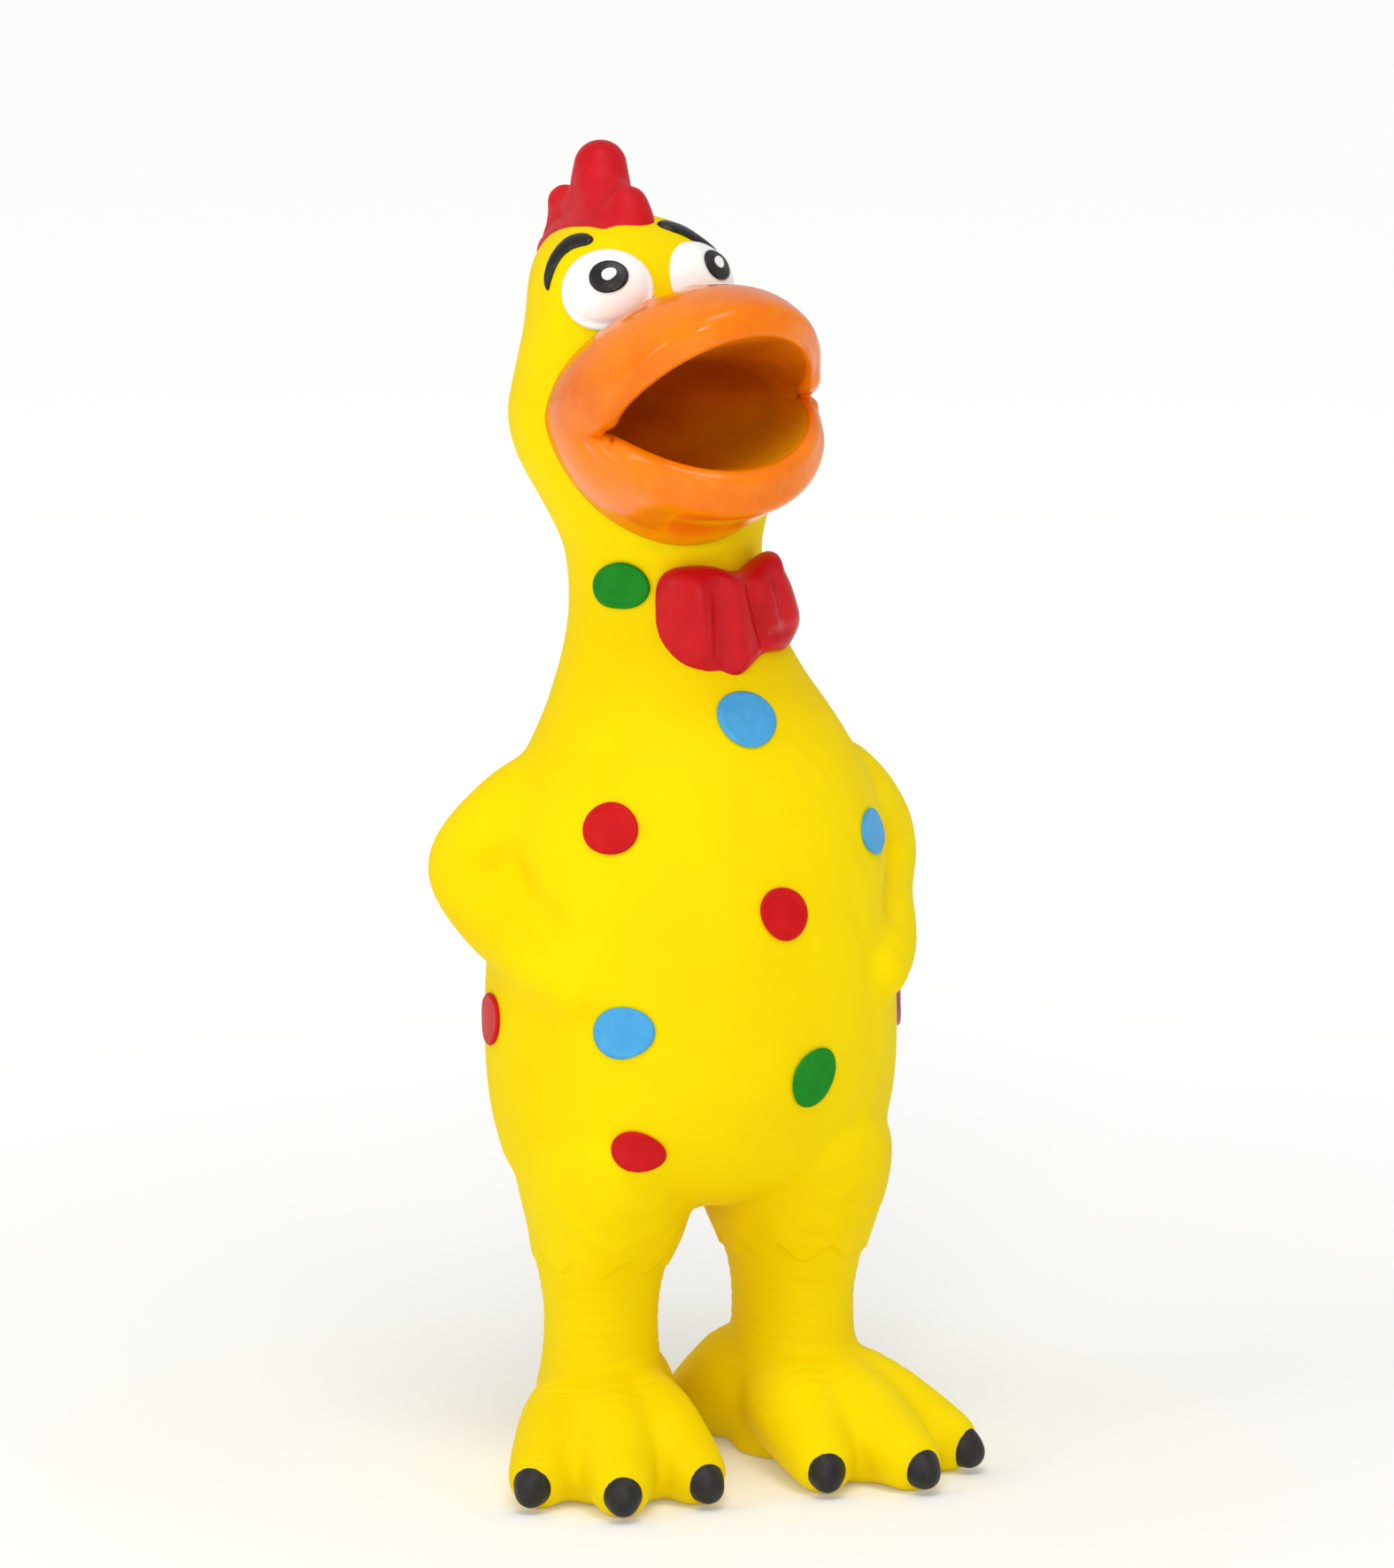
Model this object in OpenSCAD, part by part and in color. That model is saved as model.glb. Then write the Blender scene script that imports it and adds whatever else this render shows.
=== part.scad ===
// Squeaking rubber chicken: a hollow latex casting that stands on its two feet, hands on hips.
// It faces -Y, its left side is +X, and it stands on the plane z = 0.

/* [Latex skin] */
// Thickness of the latex wall
wall = 2; // [1.4:0.1:2.6]
// Thickness of a raised coat of paint
coat = 0.6; // [0.4:0.1:1]
// Points round the body
segments = 36; // [32:4:64]

/* [Head] */
// How far the head is turned to the chicken's left, in degrees
head_turn = 5; // [0:1:12]
// How far the head hangs over to the chicken's right, in degrees
head_tilt = 6.5; // [0:0.5:9]
// Half-width of the open mouth at its corners
mouth_half = 17.5; // [15:0.5:20]

/* [Feet] */
// Distance from the middle plane to each shin
leg_x = 17.8; // [17:0.1:19]
// How far each foot points outwards, in degrees
foot_splay = 14; // [8:1:18]
// Angle between neighbouring toes, in degrees
toe_fan = 25; // [20:1:28]

/* [Squeaker] */
// Outer radius of the squeaker's barrel
squeaker_r = 8; // [7:0.5:9]
// Height of the squeaker above the floor
squeaker_z = 74; // [68:1:80]

/* [Hidden] */

// Puts the middle of the part's box over the origin
stand_shift = [0, 4.2, 0];

// Rows between two stations of the body
steps = 2;
// Each station of the body: height, centre x, centre y, half-width, depth to the front,
// depth to the back, and how far the section is turned
stations = [
    [46.5, 0, 0, 10, 9, 9, 0],
    [48, 0, 0, 20, 16, 15, 0],
    [52, -0.4, 0, 31.2, 23.5, 22, 0],
    [58, -0.4, 0, 34.6, 28.5, 25.5, 0],
    [68, -0.5, 0, 36.2, 32, 27.5, 0],
    [80, -0.6, 0, 36.5, 33, 28, 0],
    [92, -0.4, 0.5, 36, 32.5, 28, 0],
    [104, 0, 1, 35, 31, 27.5, 0],
    [114, 0, 1.5, 33.4, 29, 26.5, 0],
    [122, 0, 1.5, 30.6, 26.5, 25, 0],
    [128, 0, 2, 27.4, 24, 23, 0],
    [133, -0.2, 3, 24.6, 21.8, 21.2, 0],
    [137, -0.5, 4.5, 22.4, 20, 19.6, 0],
    [141.5, -0.8, 5.8, 20.3, 18.4, 18.2, 0],
    [148, -1.4, 7.5, 17.9, 17, 17, 0],
    [155, -2, 8.2, 17.1, 16.6, 16.6, 2],
    [161, -2.6, 8.6, 17.5, 17, 17.2, 4],
    [168, -3.2, 9.4, 20.2, 18.5, 19.5, 5],
    [176, -3.9, 10.6, 23.6, 20, 21.5, 5],
    [183, -4.6, 11.4, 24.2, 20.5, 22, 5],
    [190, -5.2, 12, 21.9, 19.5, 22, 5],
    [198, -5.9, 12.2, 19.2, 18, 21, 5],
    [206, -6.8, 12, 17.4, 17, 20, 5],
    [211, -7.4, 12.4, 14.9, 14.8, 17.5, 5],
    [215, -8, 13.4, 10.2, 10.6, 12.6, 5],
    [217, -8.5, 14.5, 5, 5, 6.5, 5]
];
// The stations where the neck starts and ends
neck_first = 13;
neck_last = 16;

// Each station of a leg: height, shift to the outside, shift forwards, half-width, front, back, turn
leg_stations = [
    [0, 0, 0, 10.5, 13, 11.5, 0],
    [9, 0, 0, 11, 14, 12, 0],
    [14, 0, 0, 11.4, 14.6, 12.6, 0],
    [18, 0, 0, 10.5, 13.2, 12.4, 0],
    [24, 0, 0, 9.9, 12.4, 12.2, 0],
    [30, 0, 0, 10.1, 12.4, 12.2, 0],
    [36, -0.1, 0, 11.3, 14, 13.2, 0],
    [42, -0.6, 0, 13.8, 18, 16, 0],
    [48, -1.2, 0.4, 16, 22, 18.8, 0],
    [55, -3.6, 1, 16.9, 24.4, 20.4, 0],
    [64, -8, 1.5, 14, 21, 18, 0]
];

// Catmull-Rom curve through b and c, with a and d as its neighbours
function between(a, b, c, d, t) =
    0.5 * (2 * b + (c - a) * t + (2 * a - 5 * b + 4 * c - d) * t * t
        + (3 * b - a - 3 * c + d) * t * t * t);
function held(list, i) = list[max(0, min(len(list) - 1, i))];
function rows(list, count = steps) = concat(
    [for (i = [0:len(list) - 2]) for (k = [0:count - 1])
        between(held(list, i - 1), list[i], list[i + 1], held(list, i + 2), k / count)],
    [list[len(list) - 1]]);
// One ring of points on a row, moved outwards by grow
function ring(row, grow, n = segments) = [for (j = [0:n - 1])
    let (a = 360 * j / n,
        x = (row[3] + grow) * cos(a),
        y = ((sin(a) > 0 ? row[5] : row[4]) + grow) * sin(a))
    [row[1] + x * cos(row[6]) - y * sin(row[6]), row[2] + x * sin(row[6]) + y * cos(row[6]), row[0]]];

// A closed solid through rings that all have the same number of points, with flat ends
module skinned(rings) {
    n = len(rings[0]);
    m = len(rings);
    sides = [for (i = [0:m - 2]) for (j = [0:n - 1])
        [i * n + j, (i + 1) * n + j, (i + 1) * n + (j + 1) % n, i * n + (j + 1) % n]];
    bottom = [for (j = [0:n - 1]) j];
    top = [for (j = [n - 1:-1:0]) (m - 1) * n + j];
    polyhedron(points = [for (r = rings) for (p = r) p], faces = concat(sides, [bottom], [top]));
}

function average(list) = [for (i = [0:2]) let (v = [for (p = list) p[i]]) v * [for (x = v) 1] / len(v)];

// The same with ends that are a fan of triangles, for rings that aren't flat
module domed(rings) {
    n = len(rings[0]);
    m = len(rings);
    sides = [for (i = [0:m - 2]) for (j = [0:n - 1]) each
        [[i * n + j, (i + 1) * n + j, (i + 1) * n + (j + 1) % n],
         [i * n + j, (i + 1) * n + (j + 1) % n, i * n + (j + 1) % n]]];
    bottom = [for (j = [0:n - 1]) [m * n, j, (j + 1) % n]];
    top = [for (j = [0:n - 1]) [m * n + 1, (m - 1) * n + (j + 1) % n, (m - 1) * n + j]];
    polyhedron(points = concat([for (r = rings) for (p = r) p], [average(rings[0]), average(rings[m - 1])]),
        faces = concat(sides, bottom, top));
}

body_rows = rows(stations);
function rows_from(first, last) = [for (k = [first * steps:last * steps]) body_rows[k]];
function raised(row, dz) = [for (i = [0:6]) i == 0 ? row[0] + dz : row[i]];
last_station = len(stations) - 1;

module loft(list, grow = 0, n = segments) skinned([for (r = list) ring(r, grow, n)]);

// The hollow inside rows, run past both cut ends by over
module hollow(list, low_over, high_over) {
    wide = [for (r = list) if (r[3] > wall + 6) r];
    loft(concat([raised(wide[0], -low_over)], wide, [raised(wide[len(wide) - 1], high_over)]), -wall, 28);
}

// A row of balls, [x, y, z, radius], with each two hulled
module limb(balls, grow = 0, fn = 12) {
    for (i = [0:len(balls) - 2]) hull() for (b = [balls[i], balls[i + 1]])
        translate([b[0], b[1], b[2]]) sphere(b[3] + grow, $fn = fn);
}

// Arms, hands on the hips: side is 1 for the left one and -1 for the right one
module arm(side, grow = 0, fn = 14) mirror([side < 0 ? 1 : 0, 0, 0]) limb([
    [20, 2, 120, 9],
    [28.4, 4, 118, 9],
    [34.8, 7.6, 111.6, 8],
    [38, 9.6, 104.5, 7],
    [35.4, 4.6, 97.5, 6.6],
    [32.2, -3.6, 93, 6.2],
    [29.8, -10.4, 90, 5.8],
    [27, -15.8, 87.5, 5.4]], grow, fn);

function toe_angles() = [-toe_fan, 0, toe_fan, 200];
function toe_reach() = [31.5, 35.5, 31, 19];

module foot_place(side) mirror([side < 0 ? 1 : 0, 0, 0])
    translate([leg_x, -2, 0]) rotate([0, 0, foot_splay]) children();

module toe(i) {
    r = toe_reach()[i];
    rotate([0, 0, toe_angles()[i]]) limb([
        [0, 0, 10.6, 10.8],
        [0, -0.42 * r, 9.6, 9.7],
        [0, -0.74 * r, 7.3, 7.7],
        [0, -r, 5.1, 5.6]], 0, 13);
}

// The web that fills the foot between toes i and i + 1
module web(i) hull() {
    translate([0, -2, 9]) sphere(9.2, $fn = 12);
    for (k = [i, i + 1]) rotate([0, 0, toe_angles()[k]]) translate([0, 4 - toe_reach()[k], 3.6]) sphere(3.9, $fn = 12);
}

module foot(side) foot_place(side) {
    for (i = [0:3]) toe(i);
    for (i = [0:1]) web(i);
}

module leg(side, grow = 0, n = 24) foot_place(side) loft(rows(leg_stations, 1), grow, n);

// One claw, a blunt cap over the end of toe i
module claw(side, i) foot_place(side) rotate([0, 0, toe_angles()[i]])
    translate([0, -toe_reach()[i], 0]) intersection() {
        hull() {
            translate([0, -1.6, 5]) sphere(4.5, $fn = 13);
            translate([0, -4.4, 3.6]) sphere(3.3, $fn = 13);
        }
        translate([-10, -20, 0]) cube([20, 30, 20]);
    }

module all_claws() for (side = [-1, 1]) for (i = [0:3]) claw(side, i);

// The seat of the squeaker in the back
squeaker_y = 27.5;
seat_r = squeaker_r + 4;
module squeaker_place() translate([0, squeaker_y, squeaker_z]) rotate([-90, 0, 0]) children();
module squeaker_room(r) squeaker_place() translate([0, 0, -30]) cylinder(r = r, h = 60, $fn = 48);

module torso_outer() {
    loft(rows_from(0, neck_first));
    for (side = [-1, 1]) {
        arm(side);
        leg(side);
        foot(side);
    }
    squeaker_place() translate([0, 0, -12]) cylinder(r = seat_r, h = 13, $fn = 48);
}

module torso_hollow() {
    hollow(rows_from(2, neck_first), 0, 2);
    for (side = [-1, 1]) {
        arm(side, -wall, 10);
        leg(side, -wall, 16);
    }
}

module torso_skin() color("gold") placed() difference() {
    torso_outer();
    difference() {
        intersection() {
            torso_hollow();
            translate([-100, -100, wall]) cube([200, 200, 200]);
        }
        squeaker_place() translate([0, 0, -9]) cylinder(r = seat_r, h = 13, $fn = 48);
    }
    squeaker_room(squeaker_r + 0.03);
    all_claws();
    translate([-100, -100, -20]) cube([200, 200, 20]);
}

module neck_skin() color("gold") placed() difference() {
    loft(rows_from(neck_first, neck_last));
    hollow(rows_from(neck_first, neck_last), 2, 2);
}

// The head's own frame: its origin is the middle of the mouth, on the neck's middle line
mouth_z = 185;
module head_place() translate([-4.6, 3, mouth_z]) rotate([0, -head_tilt, head_turn]) children();

// Rings of the beak, each as its reach at the corners (x, y), above (y, z) and below (y, z)
beak_rings = [
    [mouth_half, -16, -35, 12.5, -33, -8.5],
    [mouth_half + 1.2, -18, -38, 15.5, -36, -11],
    [mouth_half + 3.2, -17.5, -36.5, 20.5, -34, -15],
    [mouth_half + 4.8, -12, -27.5, 23, -25.5, -17.5],
    [mouth_half + 5.2, -5, -17, 22, -18.5, -20.5],
    [mouth_half + 4, 2, -7, 18.5, -12, -23]
];
beak_segments = 40;

function beak_point(r, a) = let (up = sin(a) >= 0, s = abs(sin(a)))
    [r[0] * cos(a), r[1] + ((up ? r[2] : r[4]) - r[1]) * s, (up ? r[3] : r[5]) * pow(s, 0.9)];
function beak_rows() = let (n = len(beak_rings)) concat(
    [for (i = [0:n - 2]) for (k = [0:1])
        between(held(beak_rings, i - 1), beak_rings[i], beak_rings[i + 1], held(beak_rings, i + 2), k / 2)],
    [beak_rings[n - 1]]);
function middle(list) = [for (i = [0:2]) let (v = [for (p = list) p[i]]) (max(v) + min(v)) / 2];
// The closed outline of the beak's wall at one angle: the outside, then the inside
function beak_section(a) = let (out = [for (r = beak_rows()) beak_point(r, a)], c = middle(out))
    concat(out, [for (i = [len(out) - 1:-1:0]) c + 0.76 * (out[i] - c)]);

// A half of the beak, from angle first to angle last
module beak_half(first) placed() head_place()
    skinned([for (j = [0:beak_segments / 2]) beak_section(first + 360 * j / beak_segments)]);

// Everything inside the beak's outer surface
module beak_plug() head_place() let (list = beak_rows(), n = len(list))
    domed([for (i = [n - 1:-1:0]) beak_ring(list[i])]);

module upper_beak() color("darkorange") beak_half(0);
module lower_beak() color("darkorange") beak_half(180);

// The pocket behind the lips: rings from the lips to the bottom of the throat
lining_rings = [
    [mouth_half - 1.5, -10, -27, 10.5, -26, -8.5],
    [mouth_half - 3, -4, -16, 9, -16, -8.5],
    [mouth_half - 7, 1, -4, 7, -4, -7.5],
    [3, 4, 3, 2, 3, -2.5]
];
function thicker(r) = [r[0] + wall, r[1] + 1, r[2] + 1, r[3] + wall, r[4] + 1, r[5] - wall];
function lip_edge(a, i) = let (s = beak_section(a)) i == 0 ? s[0] : s[len(s) - 1];

function beak_ring(r) = [for (j = [0:beak_segments - 1]) beak_point(r, 360 * j / beak_segments)];
function lip_ring(i) = [for (j = [0:beak_segments - 1]) lip_edge(360 * j / beak_segments, i)];

// Everything inside the lining's outer surface
module mouth_plug() head_place() domed(concat(
    [for (k = [3:-1:0]) beak_ring(thicker(lining_rings[k]))], [lip_ring(1)]));
module mouth_lining() color("saddlebrown") placed() head_place() domed(concat(
    [for (k = [3:-1:0]) beak_ring(thicker(lining_rings[k]))],
    [lip_ring(1), lip_ring(0)],
    [for (r = lining_rings) beak_ring(r)]));

// The comb, three lobes along the crown
module comb_shape() {
    limb([[-7.8, 8, 211, 3.6], [-8, 8.6, 215.5, 3.8], [-8.2, 10, 218.5, 3.5]]);
    limb([[-9, 16, 212, 5], [-9, 20, 219, 5], [-8.9, 22.5, 224.6, 4.9]]);
    limb([[-9.4, 22, 212, 4.8], [-9.2, 24, 219, 4.8], [-8.9, 22.5, 224.6, 4.9]]);
    limb([[-10.4, 28, 206, 3.8], [-11.6, 32, 213, 3.4], [-12.2, 32.5, 218, 3.2]]);
    limb([[-8.2, 10, 213.5, 4.2], [-9.2, 17, 216, 4.6], [-10.8, 29, 211, 4]]);
}
module comb() color("crimson") placed() difference() {
    comb_shape();
    loft(rows_from(neck_last, last_station));
}

// A thick disc of wedges, w wide and h high, with a hand-painted wobble in its outline
module wedges(w, h, tilt, wobble) {
    n = 20;
    function rim(i) = let (a = 360 * i / n, k = 1 + wobble * sin(2 * a + 40 + tilt) + 0.6 * wobble * sin(3 * a))
        [w / 2 * k * cos(a), h / 2 * k * sin(a)];
    rotate([0, 0, tilt]) for (i = [0:n - 1]) hull() linear_extrude(60) polygon([[0, 0], rim(i), rim(i + 1)]);
}
// The same, pushed from a point inside the body in the direction az, el
module blob(at, az, el, w, h, tilt = 0, wobble = 0.04)
    translate(at) rotate([90 - el, 0, az]) wedges(w, h, tilt, wobble);

// The body and thighs, moved outwards by grow
module belly(grow) {
    loft(rows_from(1, neck_first), grow);
    for (side = [-1, 1]) leg(side, grow);
}
module throat(grow) loft(rows_from(neck_first - 1, neck_last + 1), grow);

// A spot of paint, centred z above the floor in the direction az from the front
module spot(colour, az, z, w, h, tilt = 0) color(colour) placed() difference() {
    intersection() {
        belly(coat);
        blob([0, 1, z], az, 0, w, h, tilt);
    }
    belly(0);
    for (side = [-1, 1]) arm(side);
}

module neck_spot_green() color("green") placed() difference() {
    intersection() {
        throat(coat);
        blob([-2, 8, 154.8], -48, 0, 10.6, 8.8, 10);
    }
    throat(0);
    bow_shape();
}
module chest_spot_blue() spot("deepskyblue", 9.5, 133, 12, 10.2);
module breast_spot_red() spot("crimson", -47, 115.6, 10.3, 9);
module belly_spot_red() spot("crimson", 10, 101, 9.4, 9.3);
module side_spot_blue() spot("deepskyblue", 58, 111.6, 10.6, 8);
module belly_spot_blue() spot("deepskyblue", -39, 81.5, 11, 9.4);
module belly_spot_green() spot("green", 18.5, 72.4, 9.4, 10.4, -25);
module low_spot_red() spot("crimson", -36, 60.5, 10, 7.2, -8);
module hip_spot_red() spot("crimson", -89, 80, 9.6, 9.3);
module hip_spot_purple() spot("mediumorchid", 78, 80, 9, 10);
module shoulder_spot_green() spot("green", 172, 126, 10, 9.6);
module back_spot_blue() spot("deepskyblue", 132, 108, 9.5, 9.5);
module rump_spot_red() spot("crimson", -148, 99, 9.5, 9);
module thigh_spot_green() spot("green", 146, 60, 9.5, 9);

// Eyes: a domed white on the face, a pupil on the white and a glint on the pupil.
// Each list has the right eye first: middle, turn, lift, and where the pupil and glint sit on it
eye_at = [[-16.4, -1.5, 205.8], [1.4, -1.3, 206.8]];
eye_turn = [-36, 30];
eye_lift = [17, 20];
pupil_at = [[1.2, 0, 1.5], [1.2, 0, 2]];
glint_at = [[1.4, 0, 1.9], [1.4, 0, 2.5]];
module eye_place(i) translate(eye_at[i]) rotate([0, 0, eye_turn[i]]) rotate([-eye_lift[i], 0, 0])
    children();
module eye_ball(i, grow) eye_place(i) scale([8.2 + grow, 3 + grow, 7.3 + grow]) sphere(1, $fn = 26);

module eye_white(i) color("white") placed() difference() {
    eye_ball(i, 0);
    loft(rows_from(neck_last, last_station));
    beak_plug();
    blob([0, 60, 206], 0, 0, 1, 1);
}
module on_eye(i, low, high, at, w, h) difference() {
    intersection() {
        eye_ball(i, high);
        eye_place(i) translate(at) rotate([90, 0, 0]) wedges(w, h, -10, 0.02);
    }
    eye_ball(i, low);
    beak_plug();
}
module pupil(i) color("black") placed() on_eye(i, 0, 0.5, pupil_at[i], 6.8, 5.9);
module glint(i) color("white") placed() on_eye(i, 0.5, 0.8, glint_at[i], 2.7, 2.2);
module right_eye_white() eye_white(0);
module right_pupil() pupil(0);
module right_glint() glint(0);
module left_eye_white() eye_white(1);
module left_pupil() pupil(1);
module left_glint() glint(1);

module brow(balls) color("black") placed() difference() {
    limb(balls);
    loft(rows_from(neck_last, last_station));
    for (i = [0, 1]) eye_ball(i, 0.1);
    comb_shape();
}
module right_brow() brow([
    [-17, 4, 213.8, 1.2], [-18.4, 5.8, 214.1, 1.5], [-19.9, 7.2, 213.8, 1.6], [-21.3, 7.8, 212.7, 1.5],
    [-22.4, 8, 211, 1.3], [-23.3, 8, 209, 1.1], [-23.9, 7.8, 207, 0.9], [-24.1, 7.2, 205, 0.6]]);
module left_brow() brow([
    [-4.4, 5.2, 215.4, 1.3], [-2.6, 5.6, 215.7, 1.8], [-0.6, 5.6, 215.3, 1.9], [1, 5.2, 214.5, 1.8],
    [2.6, 4.6, 213.2, 1.5], [4.4, 4.4, 211.8, 1.1], [5.8, 4.8, 210.4, 0.7]]);

// Head skin: hollow, with the whole beak and the root of the comb taken out of it
module head_skin() color("gold") placed() difference() {
    loft(rows_from(neck_last, last_station));
    hollow(rows_from(neck_last, last_station), 2, 0);
    beak_plug();
    mouth_plug();
}

// Bow tie: two pinched lobes and a knot, moulded against the throat
module bow_shape() {
    translate([3, -9.6, 149.6]) rotate([0, -4, 12]) {
        for (side = [-1, 1]) mirror([side < 0 ? 1 : 0, 0, 0]) {
            limb([[1, -2, 2.4, 3], [6, -2.4, 5.6, 3.6], [10.6, -0.6, 6.6, 3]]);
            limb([[1, -2, -2.4, 3], [6, -2.4, -5.6, 3.6], [10.6, -0.6, -6, 3]]);
            limb([[6, -2.4, 5.6, 3.6], [6, -2.4, -5.6, 3.6]]);
            limb([[10.6, -0.6, 6.6, 3], [10.6, -0.6, -6, 3]]);
        }
        limb([[0, -3, 2.8, 3.2], [0, -3, -2.8, 3.2]]);
    }
}
module bow_tie() color("firebrick") placed() difference() {
    bow_shape();
    loft(rows_from(neck_first - 3, neck_last + 2));
}

module claw_node(side, i) color("dimgray") placed() claw(side, i);
module right_inner_claw() claw_node(-1, 0);
module right_middle_claw() claw_node(-1, 1);
module right_outer_claw() claw_node(-1, 2);
module right_back_claw() claw_node(-1, 3);
module left_inner_claw() claw_node(1, 0);
module left_middle_claw() claw_node(1, 1);
module left_outer_claw() claw_node(1, 2);
module left_back_claw() claw_node(1, 3);

// Squeaker: a barrel pressed into the back, closed outside by a pierced cap
barrel_wall = 1.2;
barrel_depth = 12;
flange_h = 1.2;
seat_hole_r = 3;
module squeaker_barrel() color("ivory") placed() squeaker_place() difference() {
    union() {
        translate([0, 0, 1 - barrel_depth]) cylinder(r = squeaker_r, h = barrel_depth, $fn = 48);
        translate([0, 0, 1]) cylinder(r = squeaker_r + 2.4, h = flange_h, $fn = 48);
    }
    translate([0, 0, 1 - barrel_depth + barrel_wall])
        cylinder(r = squeaker_r - barrel_wall, h = barrel_depth + flange_h, $fn = 48);
    translate([0, 0, -barrel_depth]) cylinder(r = seat_hole_r, h = 5, $fn = 48);
}
module squeaker_cap() color("ivory") placed() squeaker_place() difference() {
    translate([0, 0, 1]) cylinder(r = squeaker_r - barrel_wall, h = flange_h, $fn = 48);
    cylinder(r = 1.6, h = 5, $fn = 48);
}
// The reed's root is a thin roll that turns in a groove across the top of its seat
seat_h = 8.4;
reed_axis = [0, -2.35, 1.1 - barrel_depth + seat_h];
reed_thick = 0.2;
reed_gap = 0.05;
module reed_roll(r, h) translate(reed_axis) rotate([0, 90, 0]) cylinder(r = r, h = h, center = true, $fn = 32);
module reed_seat() color("white") placed() squeaker_place() difference() {
    translate([0, 0, 1 - barrel_depth]) cylinder(r = seat_hole_r, h = seat_h, $fn = 48);
    translate([-1.6, -1.9, -barrel_depth]) cube([3.2, 4.9, barrel_depth]);
    reed_roll(0.45, 8);
}
module reed() color("silver") placed() squeaker_place() union() {
    reed_roll(0.4, 2.8);
    translate(reed_axis + [-1.4, 0, reed_gap - 0.1]) cube([2.8, 4.6, reed_thick]);
}

module placed() translate(stand_shift) children();

torso_skin();
neck_skin();
head_skin();
mouth_lining();
upper_beak();
lower_beak();
comb();
right_eye_white();
right_pupil();
right_glint();
left_eye_white();
left_pupil();
left_glint();
right_brow();
left_brow();
bow_tie();
neck_spot_green();
chest_spot_blue();
breast_spot_red();
belly_spot_red();
side_spot_blue();
belly_spot_blue();
belly_spot_green();
low_spot_red();
hip_spot_red();
hip_spot_purple();
shoulder_spot_green();
back_spot_blue();
rump_spot_red();
thigh_spot_green();
right_inner_claw();
right_middle_claw();
right_outer_claw();
right_back_claw();
left_inner_claw();
left_middle_claw();
left_outer_claw();
left_back_claw();
squeaker_barrel();
squeaker_cap();
reed_seat();
reed();
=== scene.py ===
"""Looks of a squeaking rubber chicken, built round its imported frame.

Shapes are worked out in millimetres in the chicken's own frame: it faces -Y, its left side is +X,
it stands on z = 0, and the middle line of its body is x = 0, y = 0. BODY_Y puts that line in the row frame.
"""
import math

import bmesh
import bpy
import numpy as np
from mathutils import Matrix, Vector
from mathutils.bvhtree import BVHTree
from mathutils.kdtree import KDTree


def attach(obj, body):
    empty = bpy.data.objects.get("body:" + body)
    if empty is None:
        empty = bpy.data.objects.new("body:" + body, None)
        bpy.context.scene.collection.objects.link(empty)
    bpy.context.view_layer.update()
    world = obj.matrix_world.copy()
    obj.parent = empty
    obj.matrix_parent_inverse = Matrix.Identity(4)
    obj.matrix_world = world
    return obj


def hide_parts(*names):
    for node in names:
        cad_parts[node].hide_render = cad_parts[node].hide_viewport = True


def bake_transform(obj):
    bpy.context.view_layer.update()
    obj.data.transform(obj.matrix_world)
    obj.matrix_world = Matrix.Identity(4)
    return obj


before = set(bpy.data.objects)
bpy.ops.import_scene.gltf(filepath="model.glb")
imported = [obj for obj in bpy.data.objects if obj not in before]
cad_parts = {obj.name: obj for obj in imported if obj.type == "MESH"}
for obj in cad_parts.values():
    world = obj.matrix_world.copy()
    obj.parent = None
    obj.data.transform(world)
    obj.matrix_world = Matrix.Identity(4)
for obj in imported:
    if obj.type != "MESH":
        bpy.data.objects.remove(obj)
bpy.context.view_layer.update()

MM = 0.001
BODY_Y = 4.2
# The squeaker lies along Y at this height, in a bore with this radius
SQUEAKER_Z = 74
SQUEAKER_BORE_R = 8.05


# ---------------------------------------------------------------- helpers

def to_row(point):
    """A point of the chicken's own frame, in metres of the row frame."""
    return Vector((point[0] * MM, (point[1] + BODY_Y) * MM, point[2] * MM))


def add_object(name, bm):
    """Makes an object of a bmesh that is in the chicken's own millimetres."""
    mesh = bpy.data.meshes.new(name)
    bmesh.ops.recalc_face_normals(bm, faces=bm.faces)
    bm.to_mesh(mesh)
    bm.free()
    mesh.transform(Matrix.Scale(MM, 4) @ Matrix.Translation((0, BODY_Y, 0)))
    for face in mesh.polygons:
        face.use_smooth = True
    obj = bpy.data.objects.new(name, mesh)
    bpy.context.scene.collection.objects.link(obj)
    return obj


def apply_modifiers(obj):
    """Bakes an object's modifiers into its mesh."""
    graph = bpy.context.evaluated_depsgraph_get()
    graph.update()
    mesh = bpy.data.meshes.new_from_object(obj.evaluated_get(graph))
    obj.modifiers.clear()
    obj.data = mesh
    for face in mesh.polygons:
        face.use_smooth = True


def remesh(obj, size):
    """Makes one even skin over everything in the object."""
    modifier = obj.modifiers.new("skin", "REMESH")
    modifier.mode = "VOXEL"
    modifier.voxel_size = size * MM
    apply_modifiers(obj)


def cut(obj, cutter):
    """Takes cutter's volume out of obj."""
    modifier = obj.modifiers.new("cut", "BOOLEAN")
    modifier.operation = "DIFFERENCE"
    modifier.solver = "EXACT"
    modifier.object = cutter
    apply_modifiers(obj)
    bpy.data.objects.remove(cutter)


def points_of(obj):
    """Vertices in the chicken's own millimetres."""
    co = np.zeros(len(obj.data.vertices) * 3)
    obj.data.vertices.foreach_get("co", co)
    return co.reshape(-1, 3) / MM - (0, BODY_Y, 0)


def normals_of(obj):
    no = np.zeros(len(obj.data.vertices) * 3)
    obj.data.vertices.foreach_get("normal", no)
    return no.reshape(-1, 3)


def set_points(obj, co):
    obj.data.vertices.foreach_set("co", ((co + (0, BODY_Y, 0)) * MM).ravel())
    obj.data.update()


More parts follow.
